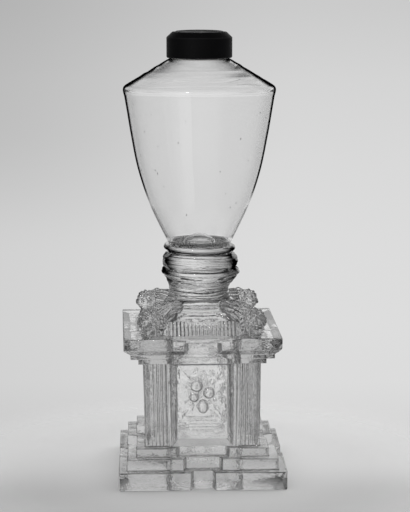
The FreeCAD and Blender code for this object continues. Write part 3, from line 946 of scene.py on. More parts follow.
@dataclass
class StemRings:
    """Three gathers of tooled glass between the base and the font, none of them quite true."""

    glass: ClearGlass
    joint: FusedJoint
    neck_radius: float = 16.9
    neck_z: float = 97.0
    waist: Pair = (16.3, 102.0)
    cone: Pair = (18.3, 106.0)
    rim: tuple[Pair, ...] = ((20.3, 109.2), (21.1, 110.0), (21.3, 110.5), (20.9, 111.9))
    knop_top: Pair = (19.5, 113.3)
    middle_side: tuple[Pair, ...] = ((20.35, 115.0), (20.5, 117.5), (19.9, 119.6), (18.4, 121.0))
    middle_top: Pair = (17.0, 121.6)
    upper_foot_z: float = 122.6
    upper_radius: float = 19.5
    font_foot: Pair = (16.5, 125.4)
    upper_lean: float = 0.021
    middle_shift: float = 0.5
    middle_lean: float = 0.35
    rim_shift: float = 1.4
    waist_lag: float = 0.4
    tool_pitch: float = 2.2
    tool_depth: float = 0.36
    groove_width: float = 0.36
    columns: int = 144

    def tool(self, points: Points, low: float, high: float) -> None:
        """Leave faint tool marks round a ring, which wander a little and fade at its welds.

        Args:
            points: Points of the ring, changed in place.
            low: Height of its lower weld.
            high: Height of its upper weld.
        """
        angle, radius = polar(points)
        radius, z = np.maximum(radius, 1e-6), points[:, 2]
        turns = z / self.tool_pitch + 0.22 * np.sin(angle + low) + 0.12 * np.sin(2 * angle + 0.5 * z)
        turns += 0.07 * np.sin(5 * angle + 0.9 * z)
        groove = np.exp(-(((turns % 1) - 0.5) * self.tool_pitch / self.groove_width) ** 2)
        ridge = 0.14 * np.sin(2 * np.pi * 1.7 * turns + 2 * np.sin(angle + 2))
        mark = ridge - groove * (1.0 + 0.7 * np.sin(3 * angle + 1.1 * z))
        fade = np.clip((z - low) / 1.2, 0, 1) * np.clip((high - z) / 1.2, 0, 1) * (radius > 15)
        points[:, :2] *= (1 + self.tool_depth * mark * fade / radius)[:, None]

    def ring(self, side: Profile) -> Blank:
        """Turn a ring that is welded at its foot and at its top.

        Args:
            side: Its side, from the lowest point up.

        Returns:
            Its solid.
        """
        blank = Blank()
        blank.lathe([(0, side[0][1]), *side, (0, side[-1][1])], self.columns, {0, len(side)})
        return blank

    def knop(self) -> None:
        """Make the ring over the waist, with its sharp lower edge."""
        waist = smooth_run([(self.neck_radius, self.neck_z), self.waist, self.cone], 30)
        blank = self.ring(waist[:-1] + smooth_run([self.cone, *self.rim, self.knop_top], 10))
        points = blank.points[0]
        height = (points[:, 2] - self.neck_z) / (self.knop_top[1] - self.neck_z)
        points[:, 0] += self.rim_shift * np.clip(height - 0.3, 0, 1) * np.sin(np.pi * np.clip(height, 0, 1)) * 1.6
        points[:, 0] -= self.waist_lag * np.sin(np.pi * np.clip(height * 1.6, 0, 1))
        self.tool(points, self.neck_z, self.knop_top[1])
        self.finish(blank, "stem_knop_glass", "stem_knop")

    def middle(self) -> None:
        """Make the thick round ring."""
        foot, top = self.knop_top, self.middle_top
        blank = self.ring(smooth_run([foot, *self.middle_side, top], 10))
        points = blank.points[0]
        height = (points[:, 2] - foot[1]) / (top[1] - foot[1])
        points[:, 0] += self.middle_shift * np.sin(np.pi * height)
        points[:, 2] -= self.middle_lean * np.sin(np.pi * height) * points[:, 0] / self.middle_side[1][0]
        self.tool(points, foot[1], top[1])
        self.finish(blank, "stem_wafer_glass", "wafer_middle")

    def upper(self) -> None:
        """Make the thin disc that carries the font, a little tilted where it hangs over."""
        (root, foot_z), top_z = self.middle_top, self.font_foot[1]
        edge = (top_z - self.upper_foot_z) / 2
        flat = self.upper_radius - edge
        round_edge = [(flat + edge * math.sin(math.pi * i / 10), top_z - edge - edge * math.cos(math.pi * i / 10))
                      for i in range(11)]
        neck = [(root, foot_z), (root + 0.05, foot_z + 0.5), (root + 0.5, self.upper_foot_z)]
        blank = self.ring(neck + round_edge + [self.font_foot])
        points = blank.points[0]
        _, radius = polar(points)
        over = np.clip((radius - root - 0.1) / 1.5, 0, 1)
        points[:, 2] -= self.upper_lean * points[:, 0] * over
        self.finish(blank, "stem_disc_glass", "wafer_upper")

    def finish(self, blank: Blank, name: str, node: str) -> None:
        """Turn one ring into a piece.

        Args:
            blank: Its solid.
            name: Name of the piece.
            node: CAD node that it stands for.
        """
        blank.shift(LEAN_MM)
        piece = blank.to_object(name)
        place_piece(piece, node, [self.glass.build(), self.joint.build()])

    def build(self) -> None:
        """Make the three rings."""
        self.knop()
        self.middle()
        self.upper()


@dataclass
class LionHead:
    """Head on a corner of the base: mane that climbs to the neck, ruff of locks, curls behind and a face."""

    slab_z: float = 81.4
    reach: float = 40.2
    face_z: float = 88.8
    face_radius: float = 5.6
    mane_start: Pair = (17.0, 92.4)
    mane_end: Pair = (36.6, 88.8)
    mane_half_widths: Pair = (4.6, 7.6)
    mane_half_heights: Pair = (3.6, 5.6)
    mane_arch: float = 1.2
    lock_count: int = 13
    lock: tuple[Quad, ...] = (  # distances behind, beside and over the face's middle, and radius
        (6.0, 4.0, 3.8, 1.5), (4.4, 6.2, 5.3, 1.3), (2.4, 6.6, 5.7, 0.7),
    )
    curl_count: int = 40
    curl_radius: float = 0.95
    foot_width: float = 10.5
    flare: tuple[Pair, ...] = ROOF_LINE
    features: tuple[tuple[Triple, Triple, float], ...] = (  # place from the face's middle, half sizes and lean
        ((4.0, 0.0, 2.1), (1.7, 3.3, 1.2), 25.0),  # brow
        ((3.7, -2.5, -0.7), (1.7, 1.7, 1.9), 0.0),  # cheek, eye and muzzle of one side, and then of the other
        ((4.4, -1.5, 0.9), (0.8, 0.8, 0.6), 0.0),
        ((4.7, -1.1, -1.9), (1.3, 1.3, 1.2), 0.0),
        ((3.7, 2.5, -0.7), (1.7, 1.7, 1.9), 0.0),
        ((4.4, 1.5, 0.9), (0.8, 0.8, 0.6), 0.0),
        ((4.7, 1.1, -1.9), (1.3, 1.3, 1.2), 0.0),
        ((5.0, 0.0, -0.3), (1.0, 0.9, 1.7), 0.0),  # bridge of the nose
        ((5.5, 0.0, -1.3), (0.7, 0.9, 0.6), 0.0),  # tip of the nose
        ((3.9, 0.0, -3.6), (1.5, 1.6, 1.0), 0.0),  # chin
    )

    def place(self, out: float, side: float, z: float) -> Points:
        """Point from its distance along the diagonal, its distance to the side and its height."""
        return np.array([(out - side) / math.sqrt(2), (out + side) / math.sqrt(2), z])

    def lump(self, blank: Blank, where: Triple, radii: Triple,
             lean: float = 0.0) -> None:
        """Add a lump set along the head's own axes.

        Args:
            blank: Solid that takes it.
            where: Distances along the diagonal and to the side, and height.
            radii: Half sizes along the diagonal, to the side and upward.
            lean: Turn about the sideways axis, in degrees.
        """
        axes = Matrix.Rotation(math.radians(45), 3, "Z") @ Matrix.Rotation(math.radians(lean), 3, "Y")
        blank.lump(Vector(self.place(*where)), radii, axes)

    def mane_point(self, share: float, angle: float) -> Points:
        """Point on the body of the mane.

        Args:
            share: Share of the way from the neck to the face.
            angle: Angle about the mane's middle line.

        Returns:
            The point.
        """
        (start, start_z), (end, end_z) = self.mane_start, self.mane_end
        width, height = (low + (high - low) * share for low, high in (self.mane_half_widths, self.mane_half_heights))
        z = start_z + (end_z - start_z) * share + self.mane_arch * math.sin(math.pi * share)
        return self.place(start + (end - start) * share, width * math.cos(angle), z + height * math.sin(angle))

    def mane(self, blank: Blank) -> None:
        """Add the body of the mane and the strands combed along it.

        Args:
            blank: Solid that takes them.
        """
        angles = 2 * np.pi * np.arange(28) / 28
        shares = [i / 8 for i in range(9)]
        blank.loft([np.array([self.mane_point(share, a) for a in angles]) for share in shares])
        for angle in range(-70, 251, 20):
            path = [self.mane_point(share, math.radians(angle) + 0.12 * math.sin(2 * math.pi * share + angle))
                    for share in shares]
            blank.tube(np.array(path), [0.75 + 0.3 * share for share in shares])

    def ruff(self, blank: Blank) -> None:
        """Add the locks that stand round the face and the curls behind them.

        Args:
            blank: Solid that takes them.
        """
        for i in range(self.lock_count):
            a = math.radians(-50 + 280 * i / (self.lock_count - 1))
            side, up = math.cos(a), math.sin(a)
            path = [self.place(self.reach - back, wide * side, self.face_z + tall * up)
                    for back, wide, tall, _ in self.lock]
            blank.tube(np.array(path), [radius for *_, radius in self.lock])
        for angle in (-58, 0, 58):
            a = math.radians(angle)
            centre = (self.reach - 8.2, 4.6 * math.sin(a), self.face_z + 1.4 + 4.4 * math.cos(a))
            self.lump(blank, centre, (2.6, 2.4, 2.6))
            self.lump(blank, (centre[0] + 1.6, centre[1] * 1.25, centre[2] + 0.4), (1.6, 1.5, 1.5))

    def fringe(self, blank: Blank) -> None:
        """Add the strands that fan out from the mane over the roof, on both sides.

        Args:
            blank: Solid that takes them.
        """
        for side in (-1, 1):
            for k in range(6):
                tip_out, tip_side = 21.5 + 1.5 * k, 9.6 - 0.25 * k
                root_out, root_side = 27.0 + 0.9 * k, 4.8
                path = []
                for i in range(6):
                    share = i / 5
                    out = tip_out + (root_out - tip_out) * share
                    away = tip_side + (root_side - tip_side) * share
                    z = self.roof_z(math.hypot(out, away)) + 0.1 + 1.6 * share
                    path.append(self.place(out, side * away, z))
                blank.tube(np.array(path), [0.4, 0.55, 0.65, 0.75, 0.85, 0.9])

    def roof_z(self, radius: float) -> float:
        """Height of the roof at a distance from the axis."""
        line = smooth_run(list(self.flare), 8)
        return float(np.interp(radius, [r for r, _ in reversed(line)], [z for _, z in reversed(line)]))

    def face(self, blank: Blank) -> None:
        """Add the round face with low forms, as worn as the mould left them, in a cap of small curls.

        Args:
            blank: Solid that takes them.
        """
        r, out, z = self.face_radius, self.reach, self.face_z
        self.lump(blank, (out, 0, z), (r, r * 0.95, r))
        for i in range(self.curl_count):
            lift = 1 - (i + 0.5) / self.curl_count * 1.5
            turn_by = 2.4 * i
            flat = math.sqrt(max(0.0, 1 - lift * lift))
            ahead, aside = flat * math.cos(turn_by), flat * math.sin(turn_by)
            if ahead > 0.55 and lift < 0.6:
                continue
            where = (out + r * ahead * 0.97, r * aside * 0.97, z + r * lift * 0.97)
            self.lump(blank, where, (self.curl_radius,) * 3)
        for (ahead, aside, up), radii, lean in self.features:
            self.lump(blank, (out + ahead, aside, z + up), radii, lean)

    def foot(self, blank: Blank) -> None:
        """Add the block under the mane and the face.

        Args:
            blank: Solid that takes them.
        """
        half, low = self.foot_width / 2, self.slab_z - OVERLAP_MM
        inner, outer = self.mane_start[0], self.reach
        corners = ((inner, half), (inner, -half), (outer, -half), (outer, half))
        rings = []
        for grow, z in ((1.0, low), (1.0, self.slab_z), (0.0, self.slab_z + 2.5)):
            rings.append(np.array([self.place(o + (grow if o == outer else 0), s * (1 + 0.1 * grow), z)
                                   for o, s in corners]))
        top = [self.place(inner, half, self.mane_start[1]), self.place(inner, -half, self.mane_start[1]),
               self.place(outer, -half * 0.7, self.face_z), self.place(outer, half * 0.7, self.face_z)]
        blank.loft(rings + [np.array(top)])

    def build(self, blank: Blank) -> None:
        """Add the whole head for the corner at +X +Y.

        Args:
            blank: Solid that takes it.
        """
        self.mane(blank)
        self.ruff(blank)
        self.fringe(blank)
        self.face(blank)
        self.foot(blank)


@dataclass
class PanelRelief:
    """Fruit and leaves over a woven basket, in low relief on one panel."""

    fruit: tuple[Quad, ...] = (
        (-3.0, 52.7, 3.3, 3.3), (3.6, 49.0, 3.1, 3.1), (0.4, 41.6, 2.9, 3.9), (-4.3, 46.6, 2.6, 2.6),
    )
    panel_y: float = 26.8  # the panel's face at its foot, from where it leans outwards
    panel_z: float = 20.5
    panel_height: float = 45.8
    panel_lean: float = 0.6
    fruit_rise: float = 2.5
    grape_count: int = 14
    leaves: tuple[Quad, ...] = (
        (-8.4, 58.4, 130, 1.0), (-2.6, 60.0, 95, 0.9), (4.0, 58.6, 60, 1.0), (9.2, 56.0, 35, 1.0),
        (-10.0, 51.6, 175, 1.0), (10.4, 48.6, 5, 0.9), (-9.8, 44.6, 200, 0.9), (8.8, 41.4, 330, 1.1),
        (-6.6, 39.2, 235, 0.9), (6.4, 36.6, 300, 0.8), (-10.2, 37.6, 215, 0.7), (1.8, 57.6, 80, 0.7),
    )
    leaf_length: float = 3.0
    leaf_width: float = 1.8
    leaf_rise: float = 0.32
    basket_foot_z: float = 27.1
    basket_top_z: float = 35.1
    basket_widths: Pair = (11.5, 17.0)
    weave_pitch: float = 1.7

    def face_y(self, z: float) -> float:
        """Depth of the panel's face at a height."""
        return -self.panel_y - self.panel_lean * (z - self.panel_z) / self.panel_height

    def lump(self, blank: Blank, x: float, z: float, radii: Triple, turn_deg: float = 0.0) -> None:
        """Add a lump whose middle lies on the panel.

        Args:
            blank: Solid that takes it.
            x: Place along the panel.
            z: Height.
            radii: Half length, half thickness and half width.
            turn_deg: Turn in the panel's plane, anticlockwise seen from the front.
        """
        axes = Matrix.Rotation(math.radians(-turn_deg), 3, "Y")
        blank.lump(Vector((x, self.face_y(z), z)), radii, axes, 8, 14)

    def bunch(self, blank: Blank) -> None:
        """Add the fruit, and grapes between.

        Args:
            blank: Solid that takes them.
        """
        for x, z, width, height in self.fruit:
            self.lump(blank, x, z, (width, self.fruit_rise, height))
        for i in range(self.grape_count):
            a = 2.4 * i
            spread = 3.6 + 0.32 * i
            self.lump(blank, spread * math.cos(a) * 0.9, 46.8 + spread * math.sin(a), (1.0, 0.85, 1.0))

    def foliage(self, blank: Blank) -> None:
        """Add the leaves, each two lobes beside a raised vein.

        Args:
            blank: Solid that takes them.
        """
        for x, z, angle, size in self.leaves:
            a = math.radians(angle)
            length, width = self.leaf_length * size, self.leaf_width * size
            for side in (-1, 1):
                px = x - side * math.sin(a) * width * 0.45
                pz = z + side * math.cos(a) * width * 0.45
                self.lump(blank, px, pz, (length, self.leaf_rise, width * 0.62), angle + side * 14)
            self.lump(blank, x, z, (length * 1.1, self.leaf_rise + 0.35, 0.36), angle)
            self.lump(blank, x - math.cos(a) * length, z - math.sin(a) * length, (length * 0.8, 0.6, 0.32), angle + 12)

    def basket(self, blank: Blank) -> None:
        """Add the basket with its weave, its rim and its foot.

        Args:
            blank: Solid that takes them.
        """
        rows = int((self.basket_top_z - self.basket_foot_z) / self.weave_pitch)
        for row in range(rows):
            z = self.basket_foot_z + (row + 0.6) * self.weave_pitch
            share = (z - self.basket_foot_z) / (self.basket_top_z - self.basket_foot_z)
            half = (self.basket_widths[0] + (self.basket_widths[1] - self.basket_widths[0]) * share) / 2
            count = round(2 * half / self.weave_pitch)
            for i in range(count):
                x = -half + (i + 0.5) * 2 * half / count
                long = 1.15 if (i + row) % 2 else 0.75
                self.lump(blank, x, z, (long, 0.6 if (i + row) % 2 else 0.4, 0.72))
        for z, width in zip((self.basket_foot_z, self.basket_top_z), self.basket_widths):
            half, y = width / 2, self.face_y(z)
            path = [np.array([x, y, z + 0.3 * (x / half) ** 2]) for x in np.linspace(-half, half, 9)]
            blank.tube(np.array(path), [0.6] * 9)

    def build(self) -> Blank:
        """Make the relief of the front panel.

        Returns:
            Its solids.
        """
        blank = Blank()
        self.bunch(blank)
        self.foliage(blank)
        self.basket(blank)
        return blank


@dataclass
class PressedBase:
    """Hollow pressed base: stepped plinth, reeded shaft, notched cornice and a cap with four heads."""

    glass: ClearGlass
    joint: FusedJoint
    head: LionHead = field(default_factory=LionHead)
    relief: PanelRelief = field(default_factory=PanelRelief)
    plinth: tuple[Quad, ...] = (
        (44.8, 9.9, 0.0, 9.7), (40.3, 17.5, 9.7, 15.8), (35.3, 24.8, 15.8, 20.5),
    )
    notch_splay: float = 1.8
    shaft_halves: Pair = (30.8, 31.4)
    shaft_span: Pair = (20.5, 66.3)
    pier_flat: float = 3.6
    pier_round: float = 1.1
    reed_pitch: float = 1.95
    reed_height: float = 0.6
    reed_count: int = 5
    panel_width: float = 27.4
    panel_depth: float = 4.0
    jamb_splay: float = 2.6
    sill_rise: float = 2.4
    lintel_drop: float = 0.6
    fillets: tuple[Quad, ...] = ((34.0, 26.8, 66.3, 69.7), (38.2, 21.5, 69.7, 72.4))
    slab_half: float = 41.9
    slab_span: Pair = (72.4, 81.4)
    slab_plate: float = 2.3
    slab_notch: Pair = (15.5, 2.0)
    slab_chamfer: Pair = (3.5, 2.7)
    cushions: tuple[Quad, ...] = ((34.0, 32.5, 81.4, 84.7), (31.3, 29.8, 84.7, 88.1))
    cushion_length: float = 38.0
    rib_count: int = 19
    rib_depth: float = 1.3
    roof_half: float = 30.0
    roof_sides: int = 160
    flare: tuple[Pair, ...] = ROOF_LINE
    cavity_halves: Pair = (20.5, 19.4)
    cavity_top: float = 84.5
    cavity_corner: float = 3.0
    cavity_offset: float = 1.5
    crown: tuple[Pair, ...] = ((18.9, 85.0), (13.4, 92.6), (10.6, 95.2), (3.4, 96.2))
    voxel: float = 0.33
    polish_passes: int = 1
    face_limit: int = 170000
    wrung_deg: float = 0.8
    broken: tuple[tuple[Triple, Triple, float], ...] = (  # middle, half sizes and turn of what is chipped off
        ((43.6, -43.0, 74.0), (3.4, 5.0, 5.2), 0.7), ((46.6, -46.0, 5.0), (3.6, 5.2, 6.4), 0.8),
        ((-46.2, -46.4, 9.6), (2.6, 3.2, 2.4), 0.0), ((-9.0, -46.3, 10.0), (1.9, 2.0, 1.5), 0.0),
    )
    seed_count: int = 30
    seed: int = 23  # of the random draws
    seed_spans: tuple[Quad, ...] = (  # nearest and furthest from the axis, lowest and highest
        (24.0, 29.5, 22, 66), (24.0, 37.0, 73, 80), (24.0, 39.0, 2, 9), (24.0, 35.0, 11, 15),
    )
    seed_far: float = 25.6  # limit in the shaft, behind whose panels the glass is thin

    def notched(self, half: float, notch: float, splay: float, back: float, z: float) -> Points:
        """Plan of a square tier with a notch in the middle of each side.

        Args:
            half: Half of its width.
            notch: Width of the notch at its back.
            splay: Width in plan of its slanted side walls.
            back: Distance of its back from the axis.
            z: Height of the outline.

        Returns:
            Corners, anticlockwise from above.
        """
        inner = notch / 2
        side = np.array([(-half, -half, z), (-inner - splay, -half, z), (-inner, -back, z), (inner, -back, z),
                         (inner + splay, -half, z)])
        return all_round(side)

    def steps(self, blank: Blank) -> None:
        """Add the plinth's three tiers, each reaching a little into the one below.

        Args:
            blank: Solid that takes them.
        """
        backs = [self.plinth[1][0], self.plinth[2][0], self.shaft_halves[0]]
        for (half, notch, low, high), back in zip(self.plinth, backs):
            low -= OVERLAP_MM if low else 0.0
            blank.loft([self.notched(half, notch, self.notch_splay, back, z) for z in (low, high)])

    def scallops(self, start: float, pitch: float, count: int, y: float, depth: float, z: float) -> list:
        """Points of a row of round ribs, without the last one.

        Args:
            start: Where the first rib starts along X.
            pitch: Width of a rib.
            count: Number of ribs.
            y: Depth of their crests.
            depth: How far the hollows lie behind.
            z: Height of the outline.

        Returns:
            The points.
        """
        steps = 6
        return [(start + pitch * (i + k / steps), y + depth * (1 - math.sin(math.pi * k / steps)), z)
                for i in range(count) for k in range(steps)]

    def shaft_outline(self, half: float, z: float) -> Points:
        """Plan of the shaft: reeded corner piers with a sunk panel between each pair.

        Args:
            half: Half of its width.
            z: Height of the outline.

        Returns:
            Corners, anticlockwise from above.
        """
        inner = self.panel_width / 2
        outer = inner + self.jamb_splay
        reeds_start = self.pier_flat - half
        reeds_end = reeds_start + self.reed_count * self.reed_pitch
        off = self.pier_round * 0.29
        side = [(off - half, off - half, z), (self.pier_round - half, -half, z)]
        side += self.scallops(reeds_start, self.reed_pitch, self.reed_count, -half, self.reed_height, z)
        side += [(reeds_end, self.reed_height - half, z), (reeds_end + 0.3, -half, z), (-outer, -half, z)]
        side += [(-inner, self.panel_depth - half, z), (inner, self.panel_depth - half, z), (outer, -half, z)]
        side += [(-reeds_end - 0.3, -half, z)]
        side += self.scallops(-reeds_end, self.reed_pitch, self.reed_count, -half, self.reed_height, z)
        side += [(-reeds_start, self.reed_height - half, z), (half - self.pier_round, -half, z)]
        return all_round(np.array(side))

    def shaft(self, blank: Blank) -> None:
        """Add the shaft with a sill, a lintel and the relief in each panel.

        Args:
            blank: Solid that takes them.
        """
        (foot, head), (low, high) = self.shaft_halves, self.shaft_span
        blank.loft([self.shaft_outline(foot, low - OVERLAP_MM), self.shaft_outline(foot, low),
                    self.shaft_outline(head, high), self.shaft_outline(head, high + OVERLAP_MM)])
        reach = self.panel_width / 2 + self.jamb_splay - 0.2
        back = foot - self.panel_depth
        under = high - self.lintel_drop
        sill = ((foot, low - OVERLAP_MM), (foot, low + 0.2), (back + 1.7, low + 0.6 * self.sill_rise),
                (back + 0.8, low + self.sill_rise))
        lintel = ((back + 2.2, under - 1.2), (head, under), (head, high + OVERLAP_MM))
        ledges = [[np.array([(-reach, -y, z), (reach, -y, z), (reach, 2 - back, z), (-reach, 2 - back, z)])
                   for y, z in line] for line in (sill, lintel)]
        carving = self.relief.build()
        for quarter in range(SIDES):
            for ledge in ledges:
                blank.loft([turn(ring, quarter) for ring in ledge])
            blank.add(turn(np.concatenate(carving.points), quarter), carving.faces)

    def cornice(self, blank: Blank) -> None:
        """Add the two fillets and the slab with its chamfered lower edge.

        Args:
            blank: Solid that takes them.
        """
        backs = [self.shaft_halves[1], self.fillets[0][0]]
        for (half, notch, low, high), back in zip(self.fillets, backs):
            blank.loft([self.notched(half, notch, self.notch_splay, back, z) for z in (low, high + OVERLAP_MM)])
        low, high = self.slab_span
        width, rise = self.slab_chamfer
        notch, splay = self.slab_notch
        back = self.fillets[1][0]
        plate = high - self.slab_plate
        outlines = ((self.slab_half - width, low), (self.slab_half, low + rise), (self.slab_half, plate + OVERLAP_MM))
        blank.loft([self.notched(half, notch, splay, min(back, half - 0.01), z) for half, z in outlines])
        blank.loft([self.notched(self.slab_half, notch, splay, self.slab_half - 0.01, z) for z in (plate, high)])

    def cap(self, blank: Blank) -> None:
        """Add the ribbed cushions, the roof that flares from the neck, and the heads.

        Args:
            blank: Solid that takes them.
        """
        pitch = self.cushion_length / self.rib_count
        for foot, head, low, high in self.cushions:
            rings = []
            for half, z in ((foot + 0.3, low - OVERLAP_MM), (foot, low), (head + 0.35, high - 0.9),
                            (head, high - 0.35), (head - 0.7, high)):
                row = self.scallops(-self.cushion_length / 2, pitch, self.rib_count, -half, self.rib_depth, z)
                row.append((self.cushion_length / 2, self.rib_depth - half, z))
                rings.append(all_round(np.array(row)))
            blank.loft(rings)
        angles = 2 * np.pi * np.arange(self.roof_sides) / self.roof_sides
        square = self.roof_half / np.maximum(np.abs(np.cos(angles)), np.abs(np.sin(angles)))
        line = smooth_run(list(self.flare), 14)
        rings = []
        below, above = (line[0][0], self.slab_span[1] - OVERLAP_MM), (line[-1][0], line[-1][1] + 2)
        for radius, z in [below, *line, above]:
            rings.append(circle(np.minimum(radius, square), z, self.roof_sides))
        blank.loft(rings)
        head = Blank()
        self.head.build(head)
        for quarter in range(SIDES):
            blank.add(turn(np.concatenate(head.points), quarter), head.faces)

    def plunger(self) -> Blank:
        """Make what the plunger leaves empty: the hollow, and the glass above the weld.

        Returns:
            Its solids.
        """
        blank = Blank()
        sides, steps = 128, 8
        angles = 2 * np.pi * np.arange(sides) / sides
        x, y = np.cos(angles), np.sin(angles)
        rings = []
        (foot, head), top = self.cavity_halves, self.cavity_top
        ends = [(foot, -3.0), (head, top), *self.crown]
        for (foot, low), (head, high) in zip(ends, ends[1:]):
            for i in range(steps):
                z = low + (high - low) * i / steps
                flat = foot + (head - foot) * i / steps - self.cavity_corner
                corner = np.array([np.sign(x) * flat, np.sign(y) * flat]).T
                plan = corner + self.cavity_corner * np.stack([x, y], 1)
                rings.append(np.column_stack([plan[:, 0] + self.cavity_offset, plan[:, 1], np.full(sides, z)]))
        blank.loft(rings)
        top = np.array([(-25, -25, 0), (25, -25, 0), (25, 25, 0), (-25, 25, 0)], float)
        blank.loft([top + (0, 0, self.flare[-1][1]), top + (0, 0, self.flare[-1][1] + 5)])
        return blank

    def chips(self) -> Blank:
        """Make the lumps that are broken off.

        Returns:
            Their solids.
        """
        blank = Blank()
        for centre, radii, angle in self.broken:
            axes, rows, columns = (Matrix.Rotation(angle, 3, "Z"), 12, 20) if angle else (None, 10, 16)
            blank.lump(Vector(centre), radii, axes, rows, columns)
        return blank

    def seeds(self, blank: Blank) -> None:
        """Add seeds of air in the thick glass.

        Args:
            blank: Solid that takes them.
        """
        chance = np.random.default_rng(self.seed)
        for i in range(self.seed_count):
            number = i % len(self.seed_spans)
            near, far, low, high = self.seed_spans[number]
            along = chance.uniform(-far, far)
            deep = chance.uniform(near, far if number else self.seed_far)
            side = turn(np.array([[along, -deep, chance.uniform(low, high)]]), i // 4 % SIDES)[0]
            size = chance.uniform(0.22, 0.5)
            blank.lump(Vector(side), (size, size, size * chance.uniform(0.8, 1.4)), None, 6, 8, hollow=True)

    def press(self) -> bpy.types.Object:
        """Press the solid glass, soften its edges and draw the plunger out.

        Returns:
            The base, without its seeds.
        """
        blank = Blank()
        self.steps(blank)
        self.shaft(blank)
        self.cornice(blank)
        self.cap(blank)
        piece = blank.to_object("pressed_base_glass")
        remesh = piece.modifiers.new("gather", "REMESH")
        remesh.mode, remesh.voxel_size = "VOXEL", self.voxel * MM
        polish = piece.modifiers.new("fire_polish", "SMOOTH")
        polish.factor, polish.iterations = 0.5, self.polish_passes
        apply_modifiers(piece)
        cutters = [self.plunger(), self.chips()]
        for number, cutter in enumerate(cutters):
            tool = cutter.to_object(f"cutter_{number}")
            cut = piece.modifiers.new("cut", "BOOLEAN")
            cut.operation, cut.object, cut.solver = "DIFFERENCE", tool, "MANIFOLD"
            apply_modifiers(piece)
            bpy.data.objects.remove(tool)
        thin = piece.modifiers.new("thin", "DECIMATE")
        thin.ratio = min(1.0, self.face_limit / sum(len(p.vertices) - 2 for p in piece.data.polygons))
        apply_modifiers(piece)
        return piece

    def wring(self, points: Points) -> Points:
        """Twist and lean the shaft a little, as it left the mould, so the cap stands askew over the plinth.

        Args:
            points: Points of the base.

        Returns:
            The same points, moved.
        """
        share = np.clip((points[:, 2] - self.shaft_span[0]) / (self.slab_span[0] - self.shaft_span[0]), 0, 1)
        angle = np.radians(self.wrung_deg) * share
        c, s = np.cos(angle), np.sin(angle)
        x, y = points[:, 0], points[:, 1]
        return np.stack([x * c - y * s + LEAN_MM * share, x * s + y * c, points[:, 2]], 1)

    def build(self) -> None:
        """Make the base, with its seeds and its invisible weld."""
        pressed = self.press()
        blank = Blank()
        points = self.wring(read_points(pressed.data))
        points[:, 2] = np.maximum(points[:, 2], 0)
        blank.add(points, [tuple(face.vertices) for face in pressed.data.polygons])
        bpy.data.objects.remove(pressed)
        self.seeds(blank)
        weld_z = self.flare[-1][1]
        flat = points[:, 2] > weld_z - 0.01
        for number, face in enumerate(blank.faces):
            if face[0] < len(points) and all(flat[i] for i in face if i < len(points)):
                blank.slots[number] = Skin.WELD
        piece = blank.to_object("pressed_base_glass")
        place_piece(piece, "pressed_base", [self.glass.build(), self.joint.build()])
        piece.data.set_sharp_from_angle(angle=math.radians(55))


@dataclass(frozen=True)
class StudioLamp:
    """Soft rectangular studio lamp, which the camera doesn't see."""

    name: str
    place_mm: Triple
    aim_mm: Triple
    size_mm: Pair
    watts: float
    role: LampRole = LampRole.LIGHT

    def build(self) -> None:
        """Hang the lamp and aim it."""
        light = bpy.data.lights.new(self.name, "AREA")
        light.shape = "RECTANGLE"
        light.size, light.size_y = self.size_mm[0] * MM, self.size_mm[1] * MM
        light.energy = self.watts
        lamp = bpy.data.objects.new(self.name, light)
        lamp.location = Vector(self.place_mm) * MM
        lamp.rotation_euler = (Vector(self.aim_mm) - Vector(self.place_mm)).to_track_quat("-Z", "Y").to_euler()
        lamp.visible_camera = False
        lamp.visible_glossy = self.role is LampRole.MIRROR
        lamp.visible_diffuse = self.role is LampRole.LIGHT
        lamp.visible_transmission = False
        bpy.context.scene.collection.objects.link(lamp)


